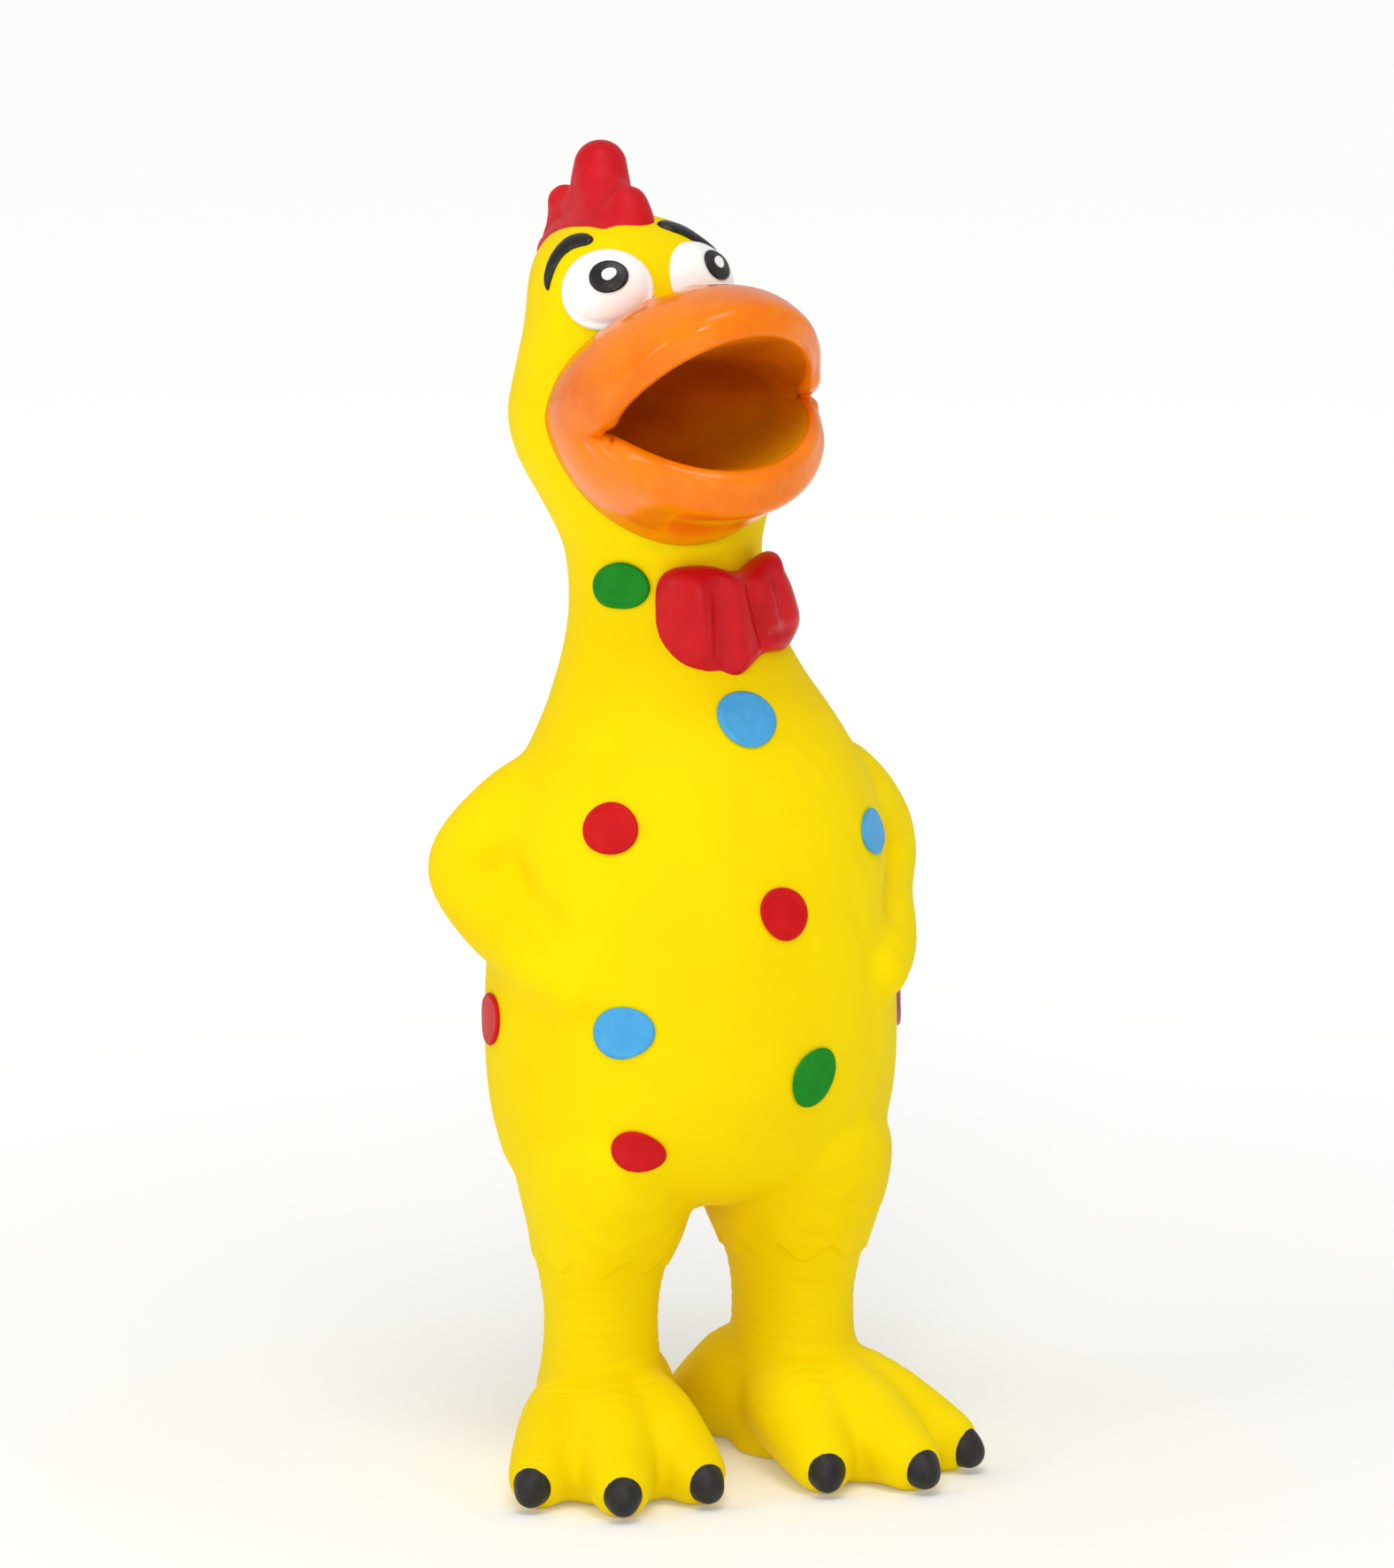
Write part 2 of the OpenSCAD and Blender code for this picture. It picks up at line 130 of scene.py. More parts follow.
def relax(obj, rounds):
    """Rounds off creases without thinning what is round already."""
    mesh = obj.data
    ends = np.zeros(len(mesh.edges) * 2, dtype=np.int64)
    mesh.edges.foreach_get("vertices", ends)
    ends = ends.reshape(-1, 2)
    count = len(mesh.vertices)
    degree = np.bincount(ends.ravel(), minlength=count)[:, None]

    def soften(values):
        for _ in range(rounds):
            total = np.stack([
                np.bincount(ends[:, 0], values[ends[:, 1], k], count)
                + np.bincount(ends[:, 1], values[ends[:, 0], k], count) for k in range(3)], axis=1)
            values = 0.5 * values + 0.5 * total / degree
        return values

    co = points_of(obj)
    soft = soften(co)
    soft += soften(co - soft)
    set_points(obj, soft)


def smoothstep(low, high, value):
    t = np.clip((value - low) / (high - low), 0, 1)
    return t * t * (3 - 2 * t)


def spline(rows, parts, closed=False):
    """Catmull-Rom curve through rows, with this many parts between each two."""
    rows = np.asarray(rows, float)
    n = len(rows)
    pick = (lambda i: rows[i % n]) if closed else (lambda i: rows[max(0, min(n - 1, i))])
    out = []
    for i in range(n if closed else n - 1):
        a, b, c, d = (pick(i + k) for k in (-1, 0, 1, 2))
        for k in range(parts):
            t = k / parts
            out.append(0.5 * (2 * b + (c - a) * t + (2 * a - 5 * b + 4 * c - d) * t * t
                              + (3 * b - a - 3 * c + d) * t ** 3))
    if not closed:
        out.append(rows[-1])
    return np.array(out)


def add_to(bm, made):
    """Adds one bmesh to another, with its faces outwards."""
    bmesh.ops.recalc_face_normals(made, faces=made.faces)
    mesh = bpy.data.meshes.new("part")
    made.to_mesh(mesh)
    made.free()
    bm.from_mesh(mesh)
    bpy.data.meshes.remove(mesh)


def loft(bm, rows, segments, place=Matrix.Identity(4)):
    """A closed barrel through rows [z, x, y, half-width, front, back, turn]."""
    made = bmesh.new()
    bmesh.ops.create_cone(made, cap_ends=True, segments=segments, radius1=1, radius2=1, depth=1)
    upright = [e for e in made.edges if abs(e.verts[0].co.z - e.verts[1].co.z) > 0.5]
    bmesh.ops.subdivide_edges(made, edges=upright, cuts=len(rows) - 2, use_grid_fill=True)
    for v in made.verts:
        z, x, y, half, front, back, turn = rows[round((v.co.z + 0.5) * (len(rows) - 1))]
        angle = math.atan2(v.co.y, v.co.x)
        px, py = half * math.cos(angle), (back if v.co.y > 0 else front) * math.sin(angle)
        c, s = math.cos(math.radians(turn)), math.sin(math.radians(turn))
        v.co = place @ Vector((x + px * c - py * s, y + px * s + py * c, z))
    add_to(bm, made)


def beads(bm, balls, parts, place=Matrix.Identity(4), rings=10):
    """A limb of close balls along a curve through balls [x, y, z, radius]."""
    made = bmesh.new()
    for x, y, z, r in spline(balls, parts):
        bmesh.ops.create_uvsphere(made, u_segments=2 * rings, v_segments=rings, radius=max(r, 0.2),
                                  matrix=place @ Matrix.Translation((x, y, z)))
    add_to(bm, made)


def drum(bm, radius, depth, y, segments):
    """A round plug on the squeaker's axis, with its middle at this y."""
    place = Matrix.Translation((0, y, SQUEAKER_Z)) @ Matrix.Rotation(math.pi / 2, 4, "X")
    bmesh.ops.create_cone(bm, cap_ends=True, segments=segments, radius1=radius, radius2=radius, depth=depth,
                          matrix=place)


def wrap(name, across, along, place):
    """A grid bent by place(u, v), with u and v from 0 to 1. Edges that place brings together are joined."""
    bm = bmesh.new()
    bmesh.ops.create_grid(bm, x_segments=across, y_segments=along, size=0.5)
    for v in bm.verts:
        v.co = Vector(place(min(1, max(0, v.co.x + 0.5)), min(1, max(0, v.co.y + 0.5))))
    bmesh.ops.remove_doubles(bm, verts=bm.verts, dist=0.002)
    return add_object(name, bm)


# ---------------------------------------------------------------- the latex skin

# Rows from the ground up: z, middle x and y, half-width, depth in front and behind, turn in degrees
BODY = [
    [46.5, 0, 0, 10, 9, 9, 0], [48, 0, 0, 20, 16, 15, 0], [52, -0.4, 0, 31.2, 23.5, 22, 0],
    [58, -0.4, 0, 34.4, 28.5, 25.5, 0], [68, -0.5, 0, 36.2, 32, 27.5, 0], [80, -0.6, 0, 36.5, 33, 28, 0],
    [92, -0.4, 0.5, 36, 32.5, 28, 0], [104, 0, 1, 35, 31, 27.5, 0], [114, 0, 1.5, 33.4, 29, 26.5, 0],
    [122, 0, 1.5, 30.6, 26.5, 25, 0], [128, 0, 2, 27.4, 24, 23, 0], [133, -0.2, 3, 24.6, 21.8, 21.2, 0],
    [137, -0.5, 4.5, 22.4, 20, 19.6, 0], [141.5, -0.8, 5.8, 20.3, 18.4, 18.2, 0],
    [148, -1.4, 7.5, 17.9, 17, 17, 0], [155, -2, 8.2, 17.1, 16.6, 16.6, 2],
    [161, -2.6, 8.6, 17.5, 17, 17.2, 4], [168, -3.2, 9.4, 20.2, 18.5, 19.5, 5],
    [176, -3.9, 10.6, 23.6, 20, 21.5, 5], [183, -4.6, 11.4, 24.2, 20.5, 22, 5],
    [190, -5.2, 12, 21.9, 19.5, 22, 5], [198, -5.9, 12.2, 19.2, 18, 21, 5], [206, -6.8, 12, 17.4, 17, 20, 5],
    [211, -7.4, 12.4, 14.9, 14.8, 17.5, 5], [215, -8, 13.4, 10.2, 10.6, 12.6, 5],
    [217, -8.5, 14.5, 5, 5, 6.5, 5]]
LEG = [
    [0, 0, 0, 10.5, 13, 11.5, 0], [9, 0, 0, 11, 14, 12, 0], [14, 0, 0, 11.4, 14.6, 12.6, 0],
    [18, 0, 0, 10.5, 13.2, 12.4, 0], [24, 0, 0, 9.9, 12.4, 12.2, 0], [30, 0, 0, 10.1, 12.4, 12.2, 0],
    [36, -0.1, 0, 11.3, 14, 13.2, 0], [42, -0.9, 0, 13.2, 18, 16, 0], [48, -1.2, 0.4, 15.1, 21.6, 18.8, 0],
    [54, -2.1, 1, 17.2, 24, 20.4, 0], [60, -3.6, 1.2, 17.8, 24.5, 20.6, 0], [68, -6, 1.5, 15.5, 22, 19, 0]]
# Balls of the left arm from the shoulder to the hand: x, y, z, radius
ARM = [
    [18, 2, 120, 9], [27, 4, 116.6, 8.8], [34.2, 7.6, 110.6, 8], [38, 9.6, 104.5, 7], [35.2, 3.4, 97.5, 6.8],
    [32.4, -6.6, 93, 6.4], [30, -13.2, 90, 6.0], [27, -18.4, 87.5, 5.4]]
SHOULDER = [[14, 3, 126.5, 9.5], [20, 3.4, 121.5, 9.5], [27, 4.6, 114.6, 9]]
LEG_X = 17.8
LEG_Y = -2
SPLAY = math.radians(14)
TOE_ANGLES = [-25, 0, 25, 200]
TOE_REACH = [31.5, 35.5, 31, 19]
TOE_NAMES = ["inner", "middle", "outer", "back"]
BACK_TOE = 3
BACK_TOE_LIFT = 1.3
SIDES = {"right": -1, "left": 1}


def foot_place(side):
    """The foot's own frame, with toes towards its -Y. side is -1 for the right foot and 1 for the left."""
    mirror = Matrix.Diagonal((side, 1, 1, 1))
    return mirror @ Matrix.Translation((LEG_X, LEG_Y, 0)) @ Matrix.Rotation(SPLAY, 4, "Z")


def toe_place(side, i):
    return foot_place(side) @ Matrix.Rotation(math.radians(TOE_ANGLES[i]), 4, "Z")


def make_skin():
    bm = bmesh.new()
    loft(bm, spline(BODY, 4), 96)
    for side in (-1, 1):
        mirror = Matrix.Diagonal((side, 1, 1, 1))
        loft(bm, spline(LEG, 4), 64, foot_place(side))
        beads(bm, ARM, 7, mirror)
        beads(bm, SHOULDER, 6, mirror)
        for i, r in enumerate(TOE_REACH):
            more = BACK_TOE_LIFT if i == BACK_TOE else 0
            beads(bm, [[0, 0, 10.6, 10.8], [0, -0.42 * r, 9.6 + more, 9.7 + more],
                       [0, -0.74 * r, 7.3 + more, 7.7 + more], [0, -r, 5.1 + more, 5.6 + more]],
                  7, toe_place(side, i))
        # The web between the toes
        for angle in range(-20, 21, 5):
            reach = 29.5 - 2.5 * (1 - math.cos(math.radians(angle * 7.2)))
            beads(bm, [[0, -4, 8.6, 8.6], [0, -0.6 * reach, 6.2, 6.2], [0, -reach, 4.0, 4.2]], 7,
                  foot_place(side) @ Matrix.Rotation(math.radians(angle), 4, "Z"))
    # The boss that holds the squeaker, filled in while the skin is made
    drum(bm, 12, 13, 22, 64)
    obj = add_object("latex_skin", bm)
    remesh(obj, 0.95)
    relax(obj, 12)
    return obj


def segment_distance(p, a, b):
    """Distance of points p from the line a to b, and how far along it they are."""
    a, b = np.asarray(a, float), np.asarray(b, float)
    t = np.clip(((p - a) @ (b - a)) / ((b - a) @ (b - a)), 0, 1)
    return np.linalg.norm(p - (a + t[:, None] * (b - a)), axis=1), t


def groove(p, line, depth, width, fade=0.25):
    """Depth of a soft crease along a line of points, shallower towards its ends."""
    best, along, total = np.full(len(p), 1e9), np.zeros(len(p)), len(line) - 1
    for i in range(total):
        distance, t = segment_distance(p, line[i], line[i + 1])
        nearer = distance < best
        best = np.where(nearer, distance, best)
        along = np.where(nearer, (i + t) / total, along)
    ends = smoothstep(0, fade, along) * smoothstep(0, fade, 1 - along)
    return depth * ends * np.exp(-(best / width) ** 2)


SHIN_FOLDS = 2.15
SCALLOPS = 11
SCALLOP_Z = 36.6
SCALLOP_HEIGHT = 3.2


def sculpt_skin(obj):
    """Folds and feathers of the casting."""
    # Finer faces where the shins and the feather edge are
    bm = bmesh.new()
    bm.from_mesh(obj.data)
    low, high = 17 * MM, 44 * MM
    fine = [e for e in bm.edges if all(low < v.co.z < high and abs(v.co.x) > 4 * MM for v in e.verts)]
    bmesh.ops.subdivide_edges(bm, edges=fine, cuts=1, use_grid_fill=True)
    bm.to_mesh(obj.data)
    bm.free()
    for face in obj.data.polygons:
        face.use_smooth = True
    p, n = points_of(obj), normals_of(obj)
    x, y, z = p.T
    push = np.zeros(len(p))
    side = np.sign(x)
    # Each leg's own angle, 0 at its front
    angle = np.arctan2(side * x - LEG_X, -(y - LEG_Y)) - SPLAY * 0.6
    # Feathers end in a row of scallops over the shin
    edge = SCALLOP_Z + SCALLOP_HEIGHT * (1 - np.abs(np.sin(SCALLOPS * angle / 2 + 0.5)) ** 1.3)
    above = z - edge
    near_leg = smoothstep(58, 46, z) * smoothstep(15, 19, z)
    push += near_leg * 0.6 * smoothstep(-0.5, 0.5, above) * np.exp(-np.clip(above, 0, None) / 8)
    # Rows of wrinkles round the shin, a little uneven
    wave = z + 0.5 * np.sin(2 * angle + 1) + 0.3 * np.sin(5 * angle)
    rows = smoothstep(17, 19.5, z) * smoothstep(-1.0, -2.6, above)
    wrinkles = np.abs(np.sin(math.pi * wave / SHIN_FOLDS)) ** 0.7 - 0.6
    push += rows * (0.17 + 0.05 * np.sin(z + angle)) * wrinkles
    # The belly hangs over the thighs, with softer folds below
    for k, (dz, depth, width) in enumerate([(0, 0.6, 2.0), (-6.5, 0.35, 1.8), (-11.5, 0.28, 1.6)]):
        for s in (-1, 1):
            line = [(s * (6 + 2 * k), -24, 48.5 + 0.4 * dz), (s * 15, -25.5, 50.5 + dz),
                    (s * 24, -20.5, 57 + dz), (s * 30, -14, 66 + dz)]
            push -= groove(p, line, depth, width)
    # Elbow pits and the dimple where each hand meets the hip
    for s in (-1, 1):
        pit = [(s * 35.6, 1.5, 110), (s * 34.4, -5, 105), (s * 32, -12, 100), (s * 28.5, -18, 96)]
        push -= groove(p, pit, 1.7, 3.4)
        push -= groove(p, [(s * 33.4, -8, 98), (s * 30.5, -13.5, 95.5)], 0.5, 2.2, 0.2)
        push -= groove(p, [(s * 31.2, -18.6, 90.2), (s * 29.4, -20, 89.4)], 1.0, 1.6, 0.01)
        push += groove(p, [(s * 30.2, -17.4, 88), (s * 28, -19.6, 86.6)], 0.8, 2.2, 0.01)
    # Folds under the jaw and on the sides of the neck
    for zz, depth in ((163.2, 0.25), (159.4, 0.2)):
        ring = np.exp(-((z - zz - 0.06 * x) / 1.1) ** 2)
        push -= depth * ring * smoothstep(2, -6, y)
    # Toe knuckles
    for s in (-1, 1):
        for i, reach in enumerate(TOE_REACH[:3]):
            for share in (0.55, 0.64):
                c = toe_place(s, i) @ Vector((0, -share * reach, 0))
                d = toe_place(s, i).to_3x3() @ Vector((0, -1, 0))
                along = (x - c.x) * d.x + (y - c.y) * d.y
                across = np.abs((x - c.x) * d.y - (y - c.y) * d.x)
                push -= 0.22 * np.exp(-(along / 0.8) ** 2) * smoothstep(7, 2, across) * smoothstep(7, 10, z)
    p = p + n * push[:, None]
    # The soles are flat
    p[:, 2] = np.maximum(p[:, 2], 0.0)
    set_points(obj, p)


# ---------------------------------------------------------------- the beak

HEAD_PLACE = (Matrix.Translation((-4.6, 3, 185)) @ Matrix.Rotation(math.radians(5), 4, "Z")
              @ Matrix.Rotation(math.radians(-6.5), 4, "Y"))
MOUTH = 17.5
# Rings of the beak from the lips to its root, in the head's frame: corners (x, y), top (y, z), bottom (y, z),
# and how sharp the corners are, from 0 to 1
BEAK_RINGS = [
    [MOUTH + 0.2, -16, -37, 15.4, -35, -7.2, 1], [MOUTH + 1.3, -18, -39, 16.6, -37, -9.4, 0.8],
    [MOUTH + 3.2, -17.5, -37, 20.5, -34.5, -15, 0.3], [MOUTH + 4.8, -12, -27.5, 23, -25.5, -17.5, 0],
    [MOUTH + 5.2, -5, -17, 22, -18.5, -20.5, 0], [MOUTH + 4, 2, -7, 18.5, -12, -23, 0]]
LINING_RINGS = [
    [MOUTH - 1.5, -10, -28, 13, -27, -8, 0.6], [MOUTH - 3, -4, -16, 10, -16, -8.5, 0],
    [MOUTH - 7, 1, -4, 7, -4, -7.5, 0], [3, 4, 3, 2, 3, -2.5, 0]]


def beak_point(ring, angle):
    """A ring's point: angle 0 is the left corner, a quarter turn the top and three quarters the bottom."""
    up, s = math.sin(angle) >= 0, abs(math.sin(angle))
    reach, rise = (ring[2], ring[3]) if up else (ring[4], ring[5])
    power = 0.9 + ring[6] * (0.12 if up else 0.6)
    return np.array([ring[0] * math.cos(angle), ring[1] + (reach - ring[1]) * s, rise * s ** power])


BEAK_OUTER = spline(BEAK_RINGS, 2)
# The beak's wall reaches this share of the way out from the middle of its section
BEAK_HOLLOW = 0.76


def beak_section(angle):
    """The closed outline of the beak's wall at one angle: out from the lip to the root, then back inside."""
    outside = np.array([beak_point(r, angle) for r in BEAK_OUTER])
    middle = (outside.max(0) + outside.min(0)) / 2
    inside = middle + BEAK_HOLLOW * (outside - middle)
    return outside, inside[::-1]


def bump(value, middle, width):
    return math.exp(-((value - middle) / width) ** 2)


def beak_detail(angle, v):
    """Height of the beak's folds over its plain surface, at this angle and this far from lip to root."""
    degrees = math.degrees(angle) % 360
    upper = max(0.0, math.sin(angle))
    lower = max(0.0, -math.sin(angle))
    h = 0.1 * bump(v, 0.1, 0.1)
    h -= upper ** 0.5 * 0.55 * bump(v, 0.26, 0.07)
    h += upper * 0.5 * bump(v, 0.42, 0.12)
    h -= lower ** 0.5 * 0.45 * bump(v, 0.3, 0.08)
    # The creases at the corners, where the upper lip folds over the lower one
    for corner, away in ((180, 1), (0, -1)):
        off = (degrees - corner + 180) % 360 - 180
        line = away * 2.5 + away * 9 * max(0, v - 0.3)
        h -= 1.6 * bump(off, line, 4.5) * smoothstep(0.62, 0.4, v)
        h += 0.55 * bump(off, line - away * 10, 6) * smoothstep(0.7, 0.3, v)
        h -= 0.8 * bump(off, away * 14, 9) * bump(v, 0.46, 0.1)
    # Nostrils beside the ridge of the upper bill
    for at in (84, 104):
        h -= 0.75 * bump(degrees, at, 3.2) * bump(v, 0.8, 0.035)
        h += 0.6 * bump(degrees, at + 5, 4) * bump(v, 0.78, 0.06)
    return h


def make_beak():
    sections = {}

    def place(u, v):
        if u not in sections:
            sections[u] = spline(np.concatenate(beak_section(2 * math.pi * u)), 3, closed=True)
        ring = sections[u]
        at = v * len(ring)
        i = int(at) % len(ring)
        t = at - int(at)
        return HEAD_PLACE @ Vector(ring[i] * (1 - t) + ring[(i + 1) % len(ring)] * t)

    obj = wrap("beak", 200, 72, place)
    relax(obj, 3)
    # The folds go on along the normals of the plain surface
    inverse = HEAD_PLACE.inverted()
    p, n = points_of(obj), normals_of(obj)
    fine_rings = spline(BEAK_RINGS, 8)
    outlines = np.array([[beak_point(r, math.radians(k)) for r in fine_rings] for k in range(360)])
    flat = outlines.reshape(-1, 3)
    shares = np.tile(np.linspace(0, 1, outlines.shape[1]), 360)
    degrees = np.repeat(np.arange(360), outlines.shape[1])
    tree = KDTree(len(flat))
    for i, q in enumerate(flat):
        tree.insert(q, i)
    tree.balance()
    for i in range(len(p)):
        local = inverse @ Vector(p[i])
        _, j, distance = tree.find(local)
        h = beak_detail(math.radians(float(degrees[j])), float(shares[j]))
        p[i] += n[i] * h * max(0.0, 1 - distance / 2.5)
    set_points(obj, p)
    relax(obj, 2)
    return obj


def thicker(r):
    """The lining's outer side of a ring."""
    return [r[0] + 2, r[1] + 1, r[2] + 1, r[3] + 2, r[4] + 1, r[5] - 2, r[6]]


def pocket_rings(angle, outer_only=False):
    """Rings of the mouth's lining at one angle, from its outer bottom over the lip to its inner bottom."""
    outside, inside = beak_section(angle)
    far = [beak_point(thicker(LINING_RINGS[k]), angle) for k in (3, 2, 1, 0)]
    lips = [inside[-1]] if outer_only else [inside[-1], outside[0]]
    near = [] if outer_only else [beak_point(r, angle) for r in LINING_RINGS]
    return np.array(far + lips + near)


def pole(which):
    """The middle of the lining's first or last ring."""
    return np.mean([pocket_rings(math.radians(k * 9))[which] for k in range(40)], axis=0)


def along_rows(rows, share):
    """The point at this share of the way through rows of points."""
    at = share * (len(rows) - 1)
    i = min(int(at), len(rows) - 2)
    return Vector(rows[i] + (rows[i + 1] - rows[i]) * (at - i))


def make_pocket():
    bottom, throat = pole(0), pole(-1)
    found = {}

    def place(u, v):
        if u not in found:
            found[u] = spline(np.concatenate([[bottom], pocket_rings(2 * math.pi * u), [throat]]), 6)
        return HEAD_PLACE @ along_rows(found[u], v)

    return wrap("mouth_pocket", 120, 56, place)


def make_head_cutter():
    """Everything inside the beak and the mouth's lining, out to well in front of the lips."""
    bottom = pole(0)
    found = {}

    def place(u, v):
        if u not in found:
            rings = pocket_rings(2 * math.pi * u, outer_only=True)
            found[u] = np.concatenate([[bottom], rings, [rings[-1] - (0, 25, 0)], [(0, -70, 2)]])
        return HEAD_PLACE @ along_rows(found[u], v)

    return wrap("cutter", 60, 22, place)


# ---------------------------------------------------------------- painted details

class Surface:
    """A finished piece that paint is laid on."""

    def __init__(self, *objects):
        self.trees = []
        for obj in objects:
            bm = bmesh.new()
            bm.from_mesh(obj.data)
            bm.normal_update()
            self.trees.append(BVHTree.FromBMesh(bm))
            bm.free()

    def hit(self, start, aim):
        """Where a line from start along aim, in the chicken's millimetres, first meets the surface."""
        best = None
        for tree in self.trees:
            place, normal, _, distance = tree.ray_cast(to_row(start), Vector(aim).normalized())
            if place is not None and (best is None or distance < best[2]):
                best = (place, normal, distance)
        if best is None:
            return None
        place = np.array(best[0]) / MM - (0, BODY_Y, 0)
        return place, np.array(best[1])

    def nearest(self, point):
        place, normal, _, _ = min((t.find_nearest(to_row(point)) for t in self.trees), key=lambda f: f[3])
        return np.array(place) / MM - (0, BODY_Y, 0), np.array(normal)


# How far outside a surface the search for it starts
STAND_OFF = 20


def frame_of(aim, roll=0.0):
    """Across and up directions for a patch seen from the direction aim."""
    aim = np.asarray(aim, float)
    aim = aim / np.linalg.norm(aim)
    across = np.cross([0, 0, 1], aim)
    across = across / np.linalg.norm(across)
    up = np.cross(aim, across)
    c, s = math.cos(math.radians(roll)), math.sin(math.radians(roll))
    return aim, across * c + up * s, up * c - across * s


# The share of a patch's grid that is its face, and the rest is its back
PATCH_FACE = 0.72


def patch(name, surface, centre, aim, rim, height, roll=0.0, spokes=72, rings=20, sink=0.5):
    """A raised closed patch on a surface.
    rim(angle) is its radius, and height(share, angle) how far it stands up at a share of that radius."""
    aim, across, up = frame_of(aim, roll)
    centre = np.asarray(centre, float)
    found = {}

    def base(angle, share):
        key = (round(angle, 5), round(share, 5))
        if key not in found:
            radius = rim(angle) * share
            start = centre + aim * STAND_OFF + (across * math.cos(angle) + up * math.sin(angle)) * radius
            hit = surface.hit(start, -aim)
            # Past the edge of what lies under it, the patch follows the nearest surface
            if hit is None or abs((hit[0] - centre) @ aim) > 9:
                hit = surface.nearest(start - aim * STAND_OFF)
            found[key] = hit
        return found[key]

    def place(u, v):
        angle = 2 * math.pi * (u % 1.0)
        if v <= PATCH_FACE:
            share = v / PATCH_FACE
            place_at, normal = base(angle, share)
            normal = 0.6 * normal + 0.4 * aim
            shoulder = math.sqrt(max(0.0, 1 - max(0.0, (share - 0.9) / 0.1) ** 2))
            return Vector(place_at + normal * (height(share, angle) * shoulder))
        share = 1 - (v - PATCH_FACE) / (1 - PATCH_FACE)
        place_at, normal = base(angle, share)
        return Vector(place_at - (0.6 * normal + 0.4 * aim) * sink * min(1.0, (1 - share) * 8))

    return wrap(name, spokes, rings, place)


def oval(w, h, wobble=0.04, phase=0.0):
    """The rim of a hand-painted oval."""
    def rim(angle):
        c, s = math.cos(angle), math.sin(angle)
        k = 1 + wobble * math.sin(2 * angle + phase) + 0.6 * wobble * math.sin(3 * angle + 2 * phase)
        return k / math.sqrt((2 * c / w) ** 2 + (2 * s / h) ** 2)
    return rim


def painted(coat, ridge=0.25, rim_at=0.84, lean=0.0):
    """A disc of paint with a brushed ridge just inside its edge."""
    def height(share, angle):
        edge = ridge * bump(share, rim_at + 0.03 * math.sin(3 * angle + lean), 0.07)
        return coat * (1 + edge - 0.12 * (1 - share) + 0.04 * math.sin(5 * angle + lean) * share)
    return height


# name: (direction from the front in degrees, height, width, height, tilt)
SPOTS = {
    "chest_spot_blue": (9, 133, 11.2, 10.8, -12), "breast_spot_red": (-47, 115.6, 9.8, 9.5, 0),
    "belly_spot_red": (10, 101, 9.4, 9.3, 0), "side_spot_blue": (58, 111.6, 10.6, 8, 0),
    "belly_spot_blue": (-39, 81.5, 11, 9.4, 0), "belly_spot_green": (18.5, 72.4, 8.6, 11.4, -32),
    "low_spot_red": (-36, 60.5, 10, 7.2, -8), "hip_spot_red": (-89, 80, 9.6, 9.3, 0),
    "hip_spot_purple": (78, 80, 9, 10, 0), "shoulder_spot_green": (172, 126, 10, 9.6, 0),
    "back_spot_blue": (132, 108, 9.5, 9.5, 0), "rump_spot_red": (-148, 99, 9.5, 9, 0),
    "thigh_spot_green": (146, 60, 9.5, 9, 0)}


def make_spots(surface):
    made = {}
    for k, (name, (azimuth, z, w, h, tilt)) in enumerate(SPOTS.items()):
        a = math.radians(azimuth)
        aim = np.array([math.sin(a), -math.cos(a), 0.0])
        middle, normal = surface.hit(np.array([0, 1, z]) + aim * 80, -aim)
        aim = 0.5 * aim + 0.5 * normal
        made[name] = patch(name + "_paint", surface, middle, aim, oval(w, h, 0.035, 1.7 * k),
                           painted(0.6, lean=k), tilt)
    aim = np.array([-0.743, -0.669, 0.0])
    middle, normal = surface.hit(np.array([-2, 8, 154.8]) + aim * 60, -aim)
    made["neck_spot_green"] = patch("neck_spot_green_paint", surface, middle, aim, oval(10.6, 8.8, 0.06, 2.0),
                                    painted(0.65, 0.35), 10)
    return made


# Each eye's middle, the way it looks in degrees, and its width and height
EYES = {
    "right": dict(at=(-16.4, -1.5, 205.8), turn=-36, lift=17, w=16.4, h=14.6),
    "left": dict(at=(1.4, -1.3, 206.8), turn=30, lift=20, w=16.4, h=14.6)}


def make_eyes(skin):
    made = {}
    for side, eye in EYES.items():
        turn, lift = math.radians(eye["turn"]), math.radians(eye["lift"])
        aim = np.array([math.sin(turn) * math.cos(lift), -math.cos(turn) * math.cos(lift), math.sin(lift)])
        middle, _ = skin.hit(np.array(eye["at"]) + aim * STAND_OFF, -aim)

        def ball(share, angle):
            # A flat painted rim round a bulging eyeball that sits a little high
            inner = math.hypot(share * math.cos(angle), share * math.sin(angle) - 0.08) / 0.86
            return 0.55 + 1.9 * math.sqrt(max(0.0, 1 - inner ** 2)) ** 1.15

        white = patch(f"{side}_eye", skin, middle, aim, oval(eye["w"], eye["h"], 0.01, 1.0), ball, 0, 96, 30)
        made[f"{side}_eye_white"] = white
        ground = Surface(white)
        _, across, up = frame_of(aim)
        spot = middle + across * 1.1 + up * 1.7
        at, _ = ground.hit(spot + aim * STAND_OFF, -aim)
        pupil = patch(f"{side}_pupil_paint", ground, at, aim, oval(6.9, 6.0, 0.02, 0.6), painted(0.3, 0.3),
                      0, 64, 16, 0.3)
        made[f"{side}_pupil"] = pupil
        ground = Surface(pupil)
        spot = middle + across * 1.3 + up * 2.1
        at, _ = ground.hit(spot + aim * STAND_OFF, -aim)
        made[f"{side}_glint"] = patch(f"{side}_glint_paint", ground, at, aim, oval(2.7, 2.3, 0.07, 0.4),
                                      painted(0.22, 0.1), 15, 40, 12, 0.2)
    return made


